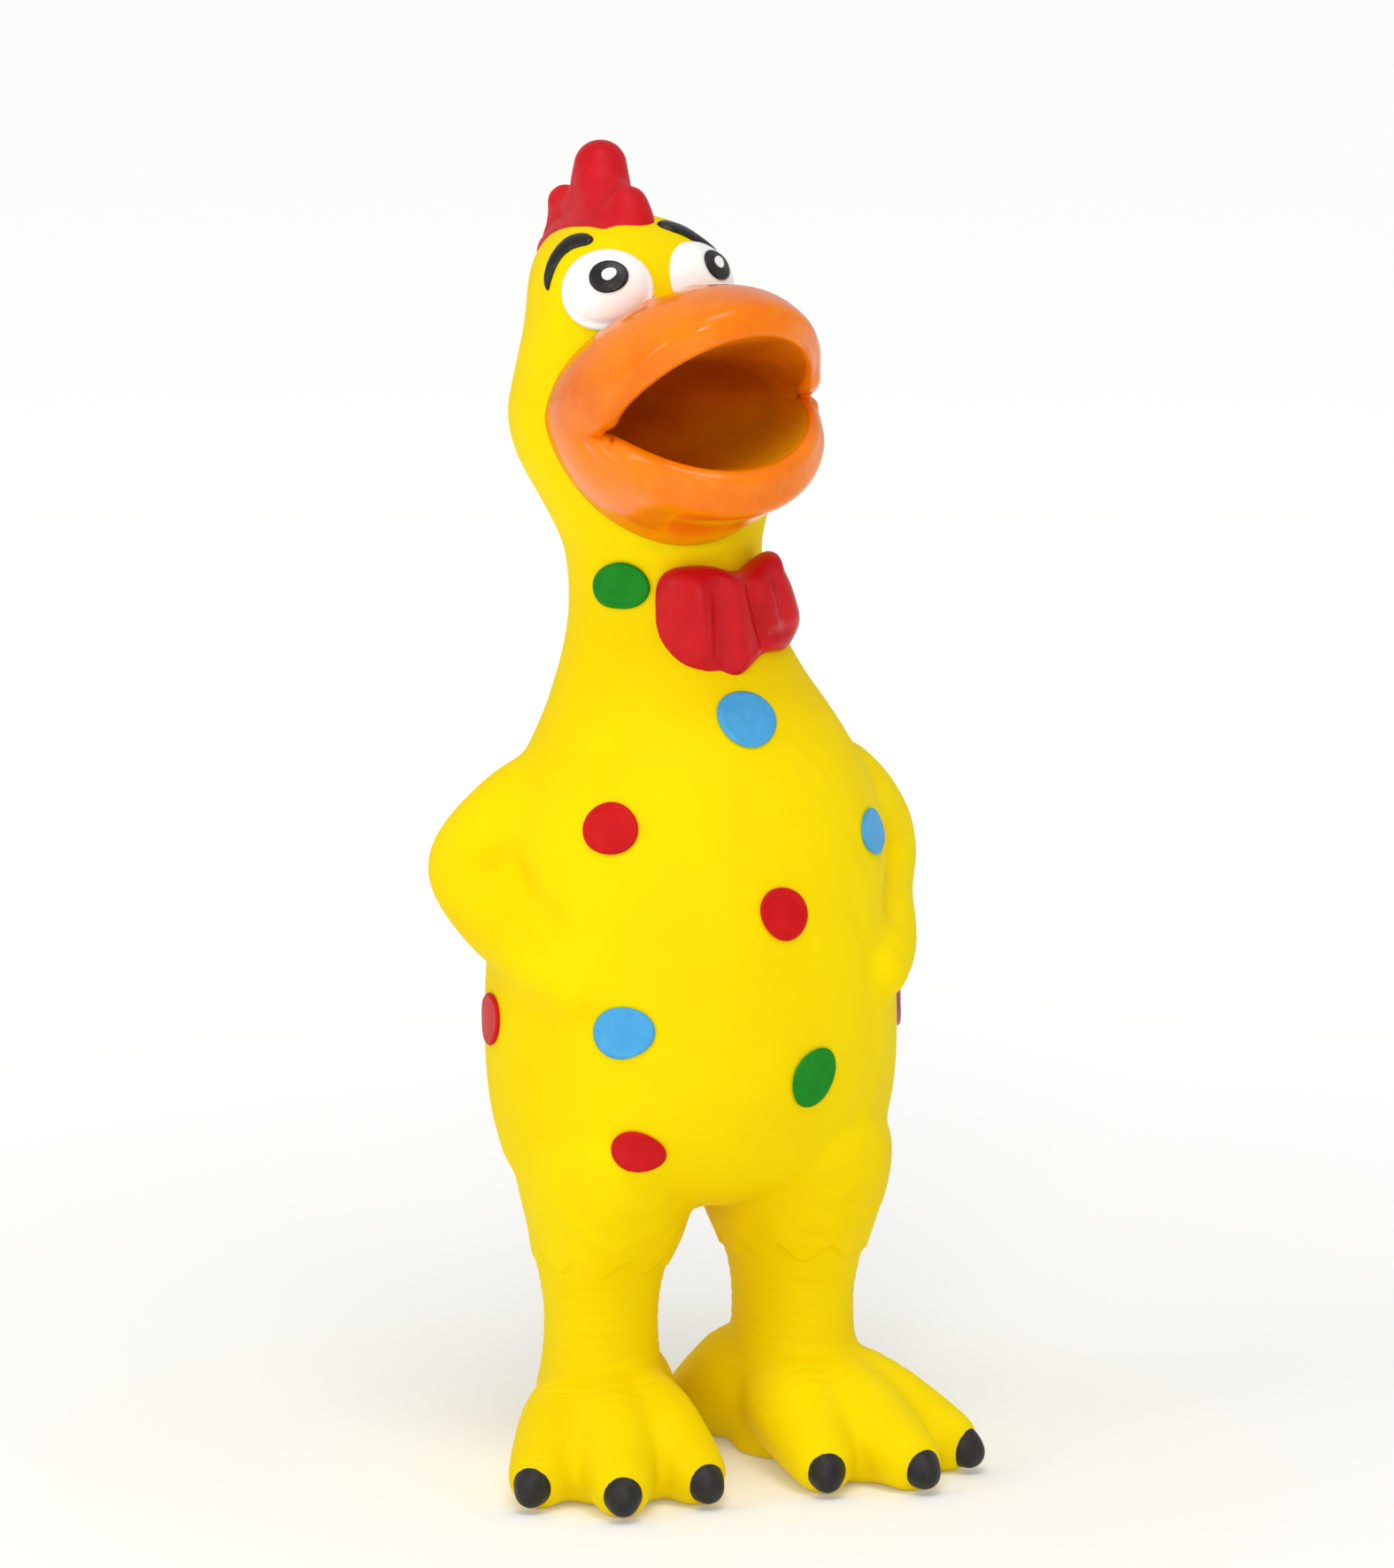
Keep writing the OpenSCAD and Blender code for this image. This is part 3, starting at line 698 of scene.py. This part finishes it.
# Brush strokes of the brows: x, y, z, half-width
BROWS = {
    "right": [(-17, 4, 213.8, 1.2), (-18.4, 5.8, 214.1, 1.7), (-19.9, 7.2, 213.8, 1.9),
              (-21.3, 7.8, 212.7, 1.8), (-22.4, 8, 211, 1.5), (-23.3, 8, 209, 1.3), (-23.9, 7.8, 207, 1.0),
              (-24.1, 7.2, 205, 0.3)],
    "left": [(-4.4, 5.2, 215.4, 1.1), (-2.6, 5.6, 215.7, 2.1), (-0.6, 5.6, 215.3, 2.2), (1, 5.2, 214.5, 2.1),
             (2.6, 4.6, 213.2, 1.7), (4.4, 4.4, 211.8, 1.2), (5.8, 4.8, 210.4, 0.4)]}


def make_brows(skin):
    made = {}
    for side, balls in BROWS.items():
        line = spline(balls, 5)
        ends = len(line) - 1

        def place(u, v, line=line, ends=ends):
            at = v * ends
            i = min(int(at), ends - 1)
            row = line[i] + (line[i + 1] - line[i]) * (at - i)
            middle, normal = skin.nearest(row[:3])
            ahead = line[i + 1][:3] - line[i][:3]
            across = np.cross(normal, ahead)
            across /= np.linalg.norm(across)
            # Round ends of a brush stroke
            taper = math.sqrt(max(0.0, 1 - (2 * v - 1) ** 8))
            angle = 2 * math.pi * u
            high = 0.85 if math.sin(angle) > 0 else 0.5
            return Vector(middle + across * row[3] * taper * math.cos(angle)
                          + normal * high * taper * math.sin(angle))

        made[f"{side}_brow"] = wrap(f"{side}_brow_paint", 24, 48, place)
    return made


# ---------------------------------------------------------------- comb, bow tie and claws

# Rows of balls of the comb: x, y, z, radius
COMB_LOBES = [
    [[-7.8, 8.6, 210, 3.9], [-8, 9.2, 215.5, 4.2], [-8.2, 10.4, 218.6, 3.7]],
    [[-9, 16, 212, 5], [-9, 20, 219, 5], [-8.9, 22.5, 224.6, 4.7]],
    [[-9.4, 22, 210, 4.8], [-9.2, 24, 219, 4.8], [-8.9, 22.5, 224.6, 4.7]],
    [[-10.4, 28, 206, 3.8], [-11.6, 31.4, 213, 3.4], [-12.1, 31.8, 217.6, 3.2]]]
COMB_BODY = [
    [[-8.2, 11, 214.5, 4.4], [-8.8, 16, 218, 4.6], [-9.4, 22, 219.3, 4.8], [-11, 28.5, 216.5, 4],
     [-11.8, 31, 214, 3.6]],
    [[-8.6, 10, 211.5, 4.8], [-10.4, 18, 211.5, 5.6], [-12.4, 27, 207.6, 4.6]],
    [[-7.8, 8.6, 213, 4.4], [-9, 22, 216, 5], [-11.8, 30.5, 211, 4.4]]]
COMB_ROOT = [
    [[-10.2, 8.6, 214.3, 3.4], [-11.8, 13, 215.2, 3.6], [-12.2, 19, 215.2, 3.8], [-13, 26, 212, 3.8]],
    [[-12.5, 8.2, 213.2, 3.4], [-14.8, 12.5, 213, 3.5], [-15.6, 19, 212.2, 3.6], [-15.4, 26, 209.6, 3.4]]]


def make_comb():
    bm = bmesh.new()
    for rows, parts in ((COMB_LOBES, 6), (COMB_BODY, 8), (COMB_ROOT, 6)):
        for balls in rows:
            beads(bm, balls, parts)
    obj = add_object("comb_casting", bm)
    remesh(obj, 0.55)
    relax(obj, 7)
    p, n = points_of(obj), normals_of(obj)
    # The root of the comb spreads over the head, and each lobe has its valley
    push = 0.5 * smoothstep(216.5, 213, p[:, 2])
    push -= groove(p, [(-12.5, 27.2, 210), (-13, 27.4, 216), (-12.4, 27.6, 222)], 1.2, 1.5, 0.05)
    push -= groove(p, [(-5, 14.6, 219.5), (-6, 15, 222)], 0.5, 1.6, 0.05)
    push -= groove(p, [(-13, 14.6, 217.5), (-12, 15, 221)], 0.6, 1.5, 0.05)
    set_points(obj, p + n * push[:, None])
    relax(obj, 2)
    return obj


# The bow's outline across and up from its knot, in millimetres
BOW_RIM = [
    (-12.8, 9.0), (-14.5, 6.4), (-14.7, 1.5), (-14.5, -3.8), (-13.6, -7.9), (-11.0, -9.6), (-8.0, -11.3),
    (-5.6, -11.6), (-3.2, -11.0), (0.6, -8.7), (2.6, -7.8), (4.5, -7.3), (9.6, -7.6), (12.2, -6.4),
    (14.8, -4.3), (15.2, -2.8), (14.4, -0.6), (11.6, 4.1), (8.7, 7.9), (7.8, 9.9), (6.2, 10.4), (4.0, 9.8),
    (2.0, 8.8), (0.2, 8.0), (-2.0, 8.0), (-4.0, 8.5), (-6.0, 9.2), (-9.0, 9.6)]
BOW_AT = (5.6, -8.2, 149.6)
BOW_TURN = 16
BOW_THICKNESS = 4.6
# The share of the bow's grid that is its front
BOW_FACE = 0.62


def make_bow():
    turn = math.radians(BOW_TURN)
    across = np.array([math.cos(turn), math.sin(turn), 0])
    out = np.array([math.sin(turn), -math.cos(turn), 0])
    rim = spline(BOW_RIM, 8, closed=True)
    angles = np.arctan2(rim[:, 1], rim[:, 0])
    order = np.argsort(angles)
    angles, reach = angles[order], np.hypot(rim[:, 0], rim[:, 1])[order]

    def relief(s, t):
        """Height of the folds in front of the throat, s across and t up from the knot."""
        h = 4.2
        h += 2.5 * math.exp(-((s + 10.6) / 2.9) ** 2) * math.exp(-((t + 0.5) / 10) ** 4)
        h -= 0.9 * math.exp(-((s + 6.9 + 0.05 * t) / 1.5) ** 2)
        h += 1.3 * math.exp(-((s + 3.4 + 0.12 * t) / 2.2) ** 2)
        h -= 1.3 * math.exp(-((s - 0.5 + 0.3 * t) / 0.9) ** 2) * (1 if t < 6 else 0.4)
        h += 0.9 * math.exp(-((s - 4.2 + 0.25 * t) / 2.6) ** 2) * math.exp(-((t - 1) / 7) ** 4)
        h -= 0.9 * math.exp(-((s - 6.6 + 0.35 * t) / 1.0) ** 2) * float(smoothstep(-4, 0, t))
        h += 1.4 * math.exp(-((s - 10.4 + 0.42 * t) / 2.2) ** 2) * float(smoothstep(-6, -1, t))
        h += 0.8 * math.exp(-((t + 8.6 - 0.2 * s) / 2.0) ** 2) * (1 if s < 1 else 0)
        h -= 0.9 * math.exp(-((t + 3.4) / 1.1) ** 2) * float(smoothstep(2.5, 4, s) * smoothstep(14, 11, s))
        return h

    def place(u, v):
        angle = 2 * math.pi * u - math.pi
        radius = float(np.interp(angle, angles, reach, period=2 * math.pi))
        if v <= BOW_FACE:
            share = v / BOW_FACE
            s, t = share * radius * math.cos(angle), share * radius * math.sin(angle)
            edge = 1 - max(0.0, (share - 0.66) / 0.34) ** 2.6
            # The folds die out towards the rounded rim
            folds = 0.85 * (relief(s, t) - BOW_THICKNESS) * (1 - share ** 4)
            h = (BOW_THICKNESS + folds) * max(0.0, edge) ** 0.55
        else:
            share = 1 - (v - BOW_FACE) / (1 - BOW_FACE)
            s, t = share * radius * math.cos(angle), share * radius * math.sin(angle)
            h = -6 * min(1.0, (1 - share) * 2.2)
        bend = s * s / 40
        return Vector(np.array(BOW_AT) + across * s + out * (h - bend) + np.array([0, 0, t + 0.04 * s]))

    obj = wrap("bow_casting", 160, 64, place)
    relax(obj, 9)
    return obj


def make_claw(name, side, i):
    bm = bmesh.new()
    # The rear claw curls round the inner side of its toe
    lift, aside = (BACK_TOE_LIFT, 2.6) if i == BACK_TOE else (0, 0)
    beads(bm, [[aside, 0.6, 5 + lift, 3.2], [aside, -1.6, 5 + lift, 3.9], [aside, -3.2, 4.3 + lift, 3.5],
               [aside, -4.7, 3.5 + lift, 2.8]], 5,
          toe_place(side, i) @ Matrix.Translation((0, -TOE_REACH[i], 0)), 12)
    obj = add_object(name, bm)
    remesh(obj, 0.4)
    relax(obj, 5)
    p, n = points_of(obj), normals_of(obj)
    # A nail with a soft ridge down its front
    tip = toe_place(side, i) @ Vector((0, -TOE_REACH[i] - 5.5, 5.5))
    push = 0.3 * np.exp(-(np.linalg.norm(p - np.array(tip), axis=1) / 1.8) ** 2)
    p = p + n * push[:, None]
    p[:, 2] = np.maximum(p[:, 2], 0.05)
    set_points(obj, p)
    return obj


# ---------------------------------------------------------------- materials

def colour(hex_code):
    """sRGB hex to linear RGBA."""
    out = []
    for k in (0, 2, 4):
        c = int(hex_code[k:k + 2], 16) / 255
        out.append(c / 12.92 if c <= 0.04045 else ((c + 0.055) / 1.055) ** 2.4)
    return (*out, 1.0)


def node(tree, kind, links=None, **settings):
    """Adds a node, sets its properties and sockets, and links what feeds it."""
    made = tree.nodes.new(kind)
    for key, value in settings.items():
        if hasattr(made, key):
            setattr(made, key, value)
        else:
            made.inputs[key.replace("_", " ")].default_value = value
    for socket, source in (links or {}).items():
        tree.links.new(source, made.inputs[socket])
    return made


def material(name, light, dark, roughness, spread=0.08, cloud=28.0, grain=0.35, grain_depth=0.04,
             brush=0.0, specular=0.5, coat=0.0, soft=0.0, soft_colour=(1.0, 0.5, 0.2), third=None):
    """A coloured latex or paint: a clouded colour, a fine grain and, for paint, the brush's strokes.
    cloud and grain are sizes in millimetres, and grain_depth how far the grain stands up."""
    mat = bpy.data.materials.new(name)
    mat.use_nodes = True
    tree = mat.node_tree
    shader = tree.nodes["Principled BSDF"]
    where = node(tree, "ShaderNodeTexCoord").outputs["Object"]
    clouds = node(tree, "ShaderNodeTexNoise", {"Vector": where}, Scale=1 / (cloud * MM), Detail=3.0,
                  Roughness=0.55)
    ramp = node(tree, "ShaderNodeValToRGB", {"Fac": clouds.outputs["Fac"]})
    ramp.color_ramp.elements[0].position, ramp.color_ramp.elements[1].position = 0.36, 0.64
    ramp.color_ramp.elements[0].color, ramp.color_ramp.elements[1].color = colour(dark), colour(light)
    result = ramp.outputs["Color"]
    if brush:
        # Strokes about a millimetre wide, thin where the brush lifted
        stretched = node(tree, "ShaderNodeMapping", {"Vector": where}, Rotation=(0.3, 0.5, 0.4),
                         Scale=(1.0, 1.0, 0.22))
        strokes = node(tree, "ShaderNodeTexNoise", {"Vector": stretched.outputs["Vector"]},
                       Scale=1 / (1.1 * MM), Detail=4.0)
        lighter = node(tree, "ShaderNodeMapRange", {"Value": strokes.outputs["Fac"]})
        lighter.inputs["From Min"].default_value, lighter.inputs["From Max"].default_value = 0.52, 0.8
        lighter.inputs["To Max"].default_value = brush
        mixed = node(tree, "ShaderNodeMix", {"Factor": lighter.outputs["Result"]}, data_type="RGBA")
        tree.links.new(result, mixed.inputs[6])
        mixed.inputs[7].default_value = colour(third or light)
        result = mixed.outputs[2]
    tree.links.new(result, shader.inputs["Base Color"])
    fine = node(tree, "ShaderNodeTexNoise", {"Vector": where}, Scale=1 / (grain * MM), Detail=2.0)
    rough = node(tree, "ShaderNodeMapRange", {"Value": clouds.outputs["Fac"]})
    rough.inputs["To Min"].default_value = max(0.02, roughness - spread)
    rough.inputs["To Max"].default_value = roughness + spread
    tree.links.new(rough.outputs["Result"], shader.inputs["Roughness"])
    lumps = node(tree, "ShaderNodeMath", {0: fine.outputs["Fac"], 1: clouds.outputs["Fac"]}, operation="ADD")
    raised = node(tree, "ShaderNodeBump", {"Height": lumps.outputs[0]}, Strength=1.0,
                  Distance=grain_depth * MM)
    tree.links.new(raised.outputs["Normal"], shader.inputs["Normal"])
    shader.inputs["IOR"].default_value = 1.5
    shader.inputs["Specular IOR Level"].default_value = specular
    shader.inputs["Coat Weight"].default_value = coat
    shader.inputs["Coat Roughness"].default_value = 0.1
    shader.inputs["Subsurface Weight"].default_value = soft
    shader.inputs["Subsurface Radius"].default_value = soft_colour
    shader.inputs["Subsurface Scale"].default_value = 1.5 * MM
    return mat


def put(obj, mat):
    obj.data.materials.clear()
    obj.data.materials.append(mat)


# Dip-moulded natural latex, coloured through: matt, a little soft, faintly clouded
LATEX = material("dipped_yellow_latex", "f7dc00", "f2d300", 0.62, 0.05, 34, 0.5, 0.02, specular=0.05,
                 soft=0.12, soft_colour=(1.0, 0.6, 0.05))
# Thick glossy latex paint on the beak, deeper orange where it pooled
ORANGE = material("glossy_orange_latex_paint", "f58204", "e86e00", 0.24, 0.04, 15, 0.9, 0.03, brush=0.22,
                  specular=0.1, coat=0.3, third="f99618")
# The mouth's lining: the beak's orange paint, darkened as painted shade of the mouth's hollow
SHADED_ORANGE = material("satin_brown_latex_paint", "d87000", "c46000", 0.55, 0.06, 12, 0.6, 0.03, brush=0.3,
                 specular=0.08, third="e07c08")
CRIMSON = material("satin_crimson_latex_paint", "d01622", "c20e1b", 0.46, 0.07, 9, 0.35, 0.05, brush=0.2,
                   specular=0.14, third="dc2a32")
RED = material("satin_red_latex_paint", "cc151e", "c00e17", 0.36, 0.06, 6, 0.3, 0.04, brush=0.15,
               specular=0.16, third="d8282c")
SPOT_RED = material("brushed_spot_red_latex_paint", "cc1014", "c30a10", 0.4, 0.06, 4, 0.3, 0.06, brush=0.2,
                    specular=0.14, third="d8281e")
GREEN = material("brushed_green_latex_paint", "148a1c", "0f8018", 0.42, 0.06, 4, 0.3, 0.06, brush=0.3,
                 specular=0.12, third="2c8c28")
BLUE = material("brushed_blue_latex_paint", "45a4dc", "3f9ed8", 0.45, 0.06, 4, 0.3, 0.06, brush=0.4,
                specular=0.3, third="63b6e4")
PURPLE = material("brushed_purple_latex_paint", "b06aa8", "9d5896", 0.45, 0.06, 4, 0.3, 0.06, brush=0.4,
                  specular=0.3, third="c184ba")
WHITE = material("satin_white_latex_paint", "fbfbf8", "f5f5f1", 0.45, 0.05, 8, 0.5, 0.03, specular=0.3)
BLACK = material("glossy_black_latex_paint", "141311", "0d0c0b", 0.33, 0.06, 5, 0.4, 0.06, brush=0.3,
                 specular=0.4, third="34322e")
CLAW = material("satin_black_claw_paint", "201f1d", "151412", 0.5, 0.07, 4, 0.35, 0.1, brush=0.45,
                specular=0.4, third="42403b")
# Moulded natural polyethylene of the squeaker, and its film reed
POLYETHYLENE = material("moulded_polyethylene", "efece2", "e6e2d6", 0.4, 0.05, 6, 0.4, 0.02, soft=0.1,
                        soft_colour=(1.0, 0.9, 0.8))
FILM = material("reed_film", "dcd8ca", "cfcbbc", 0.5, 0.05, 3, 0.3, 0.01)


def mouth_paint():
    """The lining: brown at the top, which is the orange paint darkened as painted shade, giving way to yellow
    low on the chicken's left.
    """
    mat = SHADED_ORANGE.copy()
    mat.name = "mouth_lining_paint_and_painted_shade"
    tree = mat.node_tree
    shader = tree.nodes["Principled BSDF"]
    before = shader.inputs["Base Color"].links[0].from_socket
    where = [n for n in tree.nodes if n.bl_idname == "ShaderNodeTexCoord"][0].outputs["Object"]
    parts = node(tree, "ShaderNodeSeparateXYZ", {"Vector": where})
    # The share of yellow grows to the chicken's left and downwards, over about a centimetre and a half
    sideways = node(tree, "ShaderNodeMath", {0: parts.outputs["X"]}, operation="MULTIPLY_ADD")
    sideways.inputs[1].default_value, sideways.inputs[2].default_value = 38.0, 0.12
    height = node(tree, "ShaderNodeMath", {0: parts.outputs["Z"]}, operation="MULTIPLY_ADD")
    height.inputs[1].default_value, height.inputs[2].default_value = -62.0, 11.2
    total = node(tree, "ShaderNodeMath", {0: sideways.outputs[0], 1: height.outputs[0]}, operation="ADD")
    share = node(tree, "ShaderNodeMapRange", {"Value": total.outputs[0]}, interpolation_type="SMOOTHSTEP")
    mixed = node(tree, "ShaderNodeMix", {"Factor": share.outputs["Result"]}, data_type="RGBA")
    tree.links.new(before, mixed.inputs[6])
    mixed.inputs[7].default_value = colour("e6b406")
    tree.links.new(mixed.outputs[2], shader.inputs["Base Color"])
    return mat


# ---------------------------------------------------------------- building

skin = make_skin()
sculpt_skin(skin)
cut(skin, make_head_cutter())
bm = bmesh.new()
drum(bm, SQUEAKER_BORE_R, 24, 30, 96)
cut(skin, add_object("cutter", bm))


def finish(obj, mat, slot, body, *nodes):
    """Paints a piece, hides the nodes it stands for, and hangs it on the empty of the body it moves with;
    pieces of the neck are only baked in place.
    """
    put(obj, mat)
    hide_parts(*nodes)
    if body == "neck":
        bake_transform(obj)
    else:
        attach(obj, body)


PAINTS = {"red": (SPOT_RED, "paint_spot_red"), "green": (GREEN, "paint_green"), "blue": (BLUE, "paint_blue"),
          "purple": (PURPLE, "paint_purple")}
surface = Surface(skin)
finish(make_beak(), ORANGE, "paint_orange", "head", "upper_beak", "lower_beak")
# The mouth's lining wears orange paint darkened as painted shade of its hollow
finish(make_pocket(), mouth_paint(), "paint_brown", "head", "mouth_lining")
finish(make_comb(), CRIMSON, "paint_crimson", "head", "comb")
finish(make_bow(), RED, "paint_red", "neck", "bow_tie")
for name, obj in make_spots(surface).items():
    paint, slot = PAINTS[name.rsplit("_", 1)[1]]
    finish(obj, paint, slot, "neck" if name.startswith("neck") else "torso", name)
for name, obj in {**make_eyes(surface), **make_brows(surface)}.items():
    black = "pupil" in name or "brow" in name
    finish(obj, BLACK if black else WHITE, "paint_black" if black else "paint_white", "head", name)
for side_name, side in SIDES.items():
    for i, toe_name in enumerate(TOE_NAMES):
        name = f"{side_name}_{toe_name}_claw"
        finish(make_claw(name + "_paint", side, i), CLAW, "paint_claw", "torso", name)
finish(skin, LATEX, "latex_yellow", "neck", "torso_skin", "neck_skin", "head_skin")
for name in ("squeaker_barrel", "squeaker_cap", "reed_seat"):
    put(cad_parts[name], POLYETHYLENE)
put(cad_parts["reed"], FILM)

# ---------------------------------------------------------------- floor, light and camera

bm = bmesh.new()
bmesh.ops.create_grid(bm, x_segments=1, y_segments=1, size=4000)
floor = add_object("floor", bm)
floor.data.transform(Matrix.Translation((0, 0, -0.0002)))
paper = bpy.data.materials.new("white_paper_sweep")
paper.use_nodes = True
tree = paper.node_tree
shader = tree.nodes["Principled BSDF"]
shader.inputs["Base Color"].default_value = colour("f4f4f2")
shader.inputs["Roughness"].default_value = 0.9
shader.inputs["Specular IOR Level"].default_value = 0.1
# Painted glow: the floor gives off light of its own, more so away from the chicken and less close to it, like
# an even studio table with painted dimming round the chicken
where = node(tree, "ShaderNodeTexCoord").outputs["Object"]
away = node(tree, "ShaderNodeVectorMath", {0: where}, operation="LENGTH")
glow = node(tree, "ShaderNodeMapRange", {"Value": away.outputs["Value"]})
glow.inputs["From Min"].default_value, glow.inputs["From Max"].default_value = 0.08, 0.6
glow.inputs["To Min"].default_value, glow.inputs["To Max"].default_value = 0.12, 0.42
shader.inputs["Emission Color"].default_value = colour("ffffff")
tree.links.new(glow.outputs["Result"], shader.inputs["Emission Strength"])
put(floor, paper)

world = bpy.data.worlds.new("studio")
bpy.context.scene.world = world
world.use_nodes = True
ambient = world.node_tree.nodes["Background"]
ambient.inputs["Color"].default_value = colour("fcfcfb")
ambient.inputs["Strength"].default_value = 0.62


def softbox(name, place, aim, size, power):
    """A square lamp, with its size in metres and its power in watts."""
    lamp = bpy.data.lights.new(name, "AREA")
    lamp.shape, lamp.size, lamp.energy = "SQUARE", size, power
    obj = bpy.data.objects.new(name, lamp)
    bpy.context.scene.collection.objects.link(obj)
    obj.location = place
    obj.rotation_euler = (Vector(aim) - Vector(place)).to_track_quat("-Z", "Y").to_euler()


softbox("overhead_softbox", (-0.15, -0.45, 1.1), (0, 0, 0.12), 0.5, 3.6)
softbox("front_softbox", (-0.45, -1.0, 0.5), (0, 0, 0.1), 0.2, 2.0)
softbox("right_hand_softbox", (-0.95, -0.2, 0.45), (0, 0, 0.12), 0.3, 1.2)

CAMERA_AZIMUTH = math.radians(-20)
CAMERA_HEIGHT = math.radians(9.5)
CAMERA_DISTANCE = 1.4
CAMERA_LENS = 208.6
AIM_Z = 119
AIM_RIGHT = 0.69
back = Vector((math.sin(CAMERA_AZIMUTH) * math.cos(CAMERA_HEIGHT),
               -math.cos(CAMERA_AZIMUTH) * math.cos(CAMERA_HEIGHT), math.sin(CAMERA_HEIGHT)))
right = Vector((math.cos(CAMERA_AZIMUTH), math.sin(CAMERA_AZIMUTH), 0))
look_at = to_row((0, 0, AIM_Z)) + right * AIM_RIGHT * MM
camera = bpy.data.objects.new("camera", bpy.data.cameras.new("camera"))
bpy.context.scene.collection.objects.link(camera)
camera.data.sensor_fit = "HORIZONTAL"
camera.data.sensor_width = 36
camera.data.lens = CAMERA_LENS
camera.location = look_at + back * CAMERA_DISTANCE
camera.rotation_euler = back.to_track_quat("Z", "Y").to_euler()
bpy.context.scene.camera = camera
bpy.context.scene.view_settings.view_transform = "Standard"
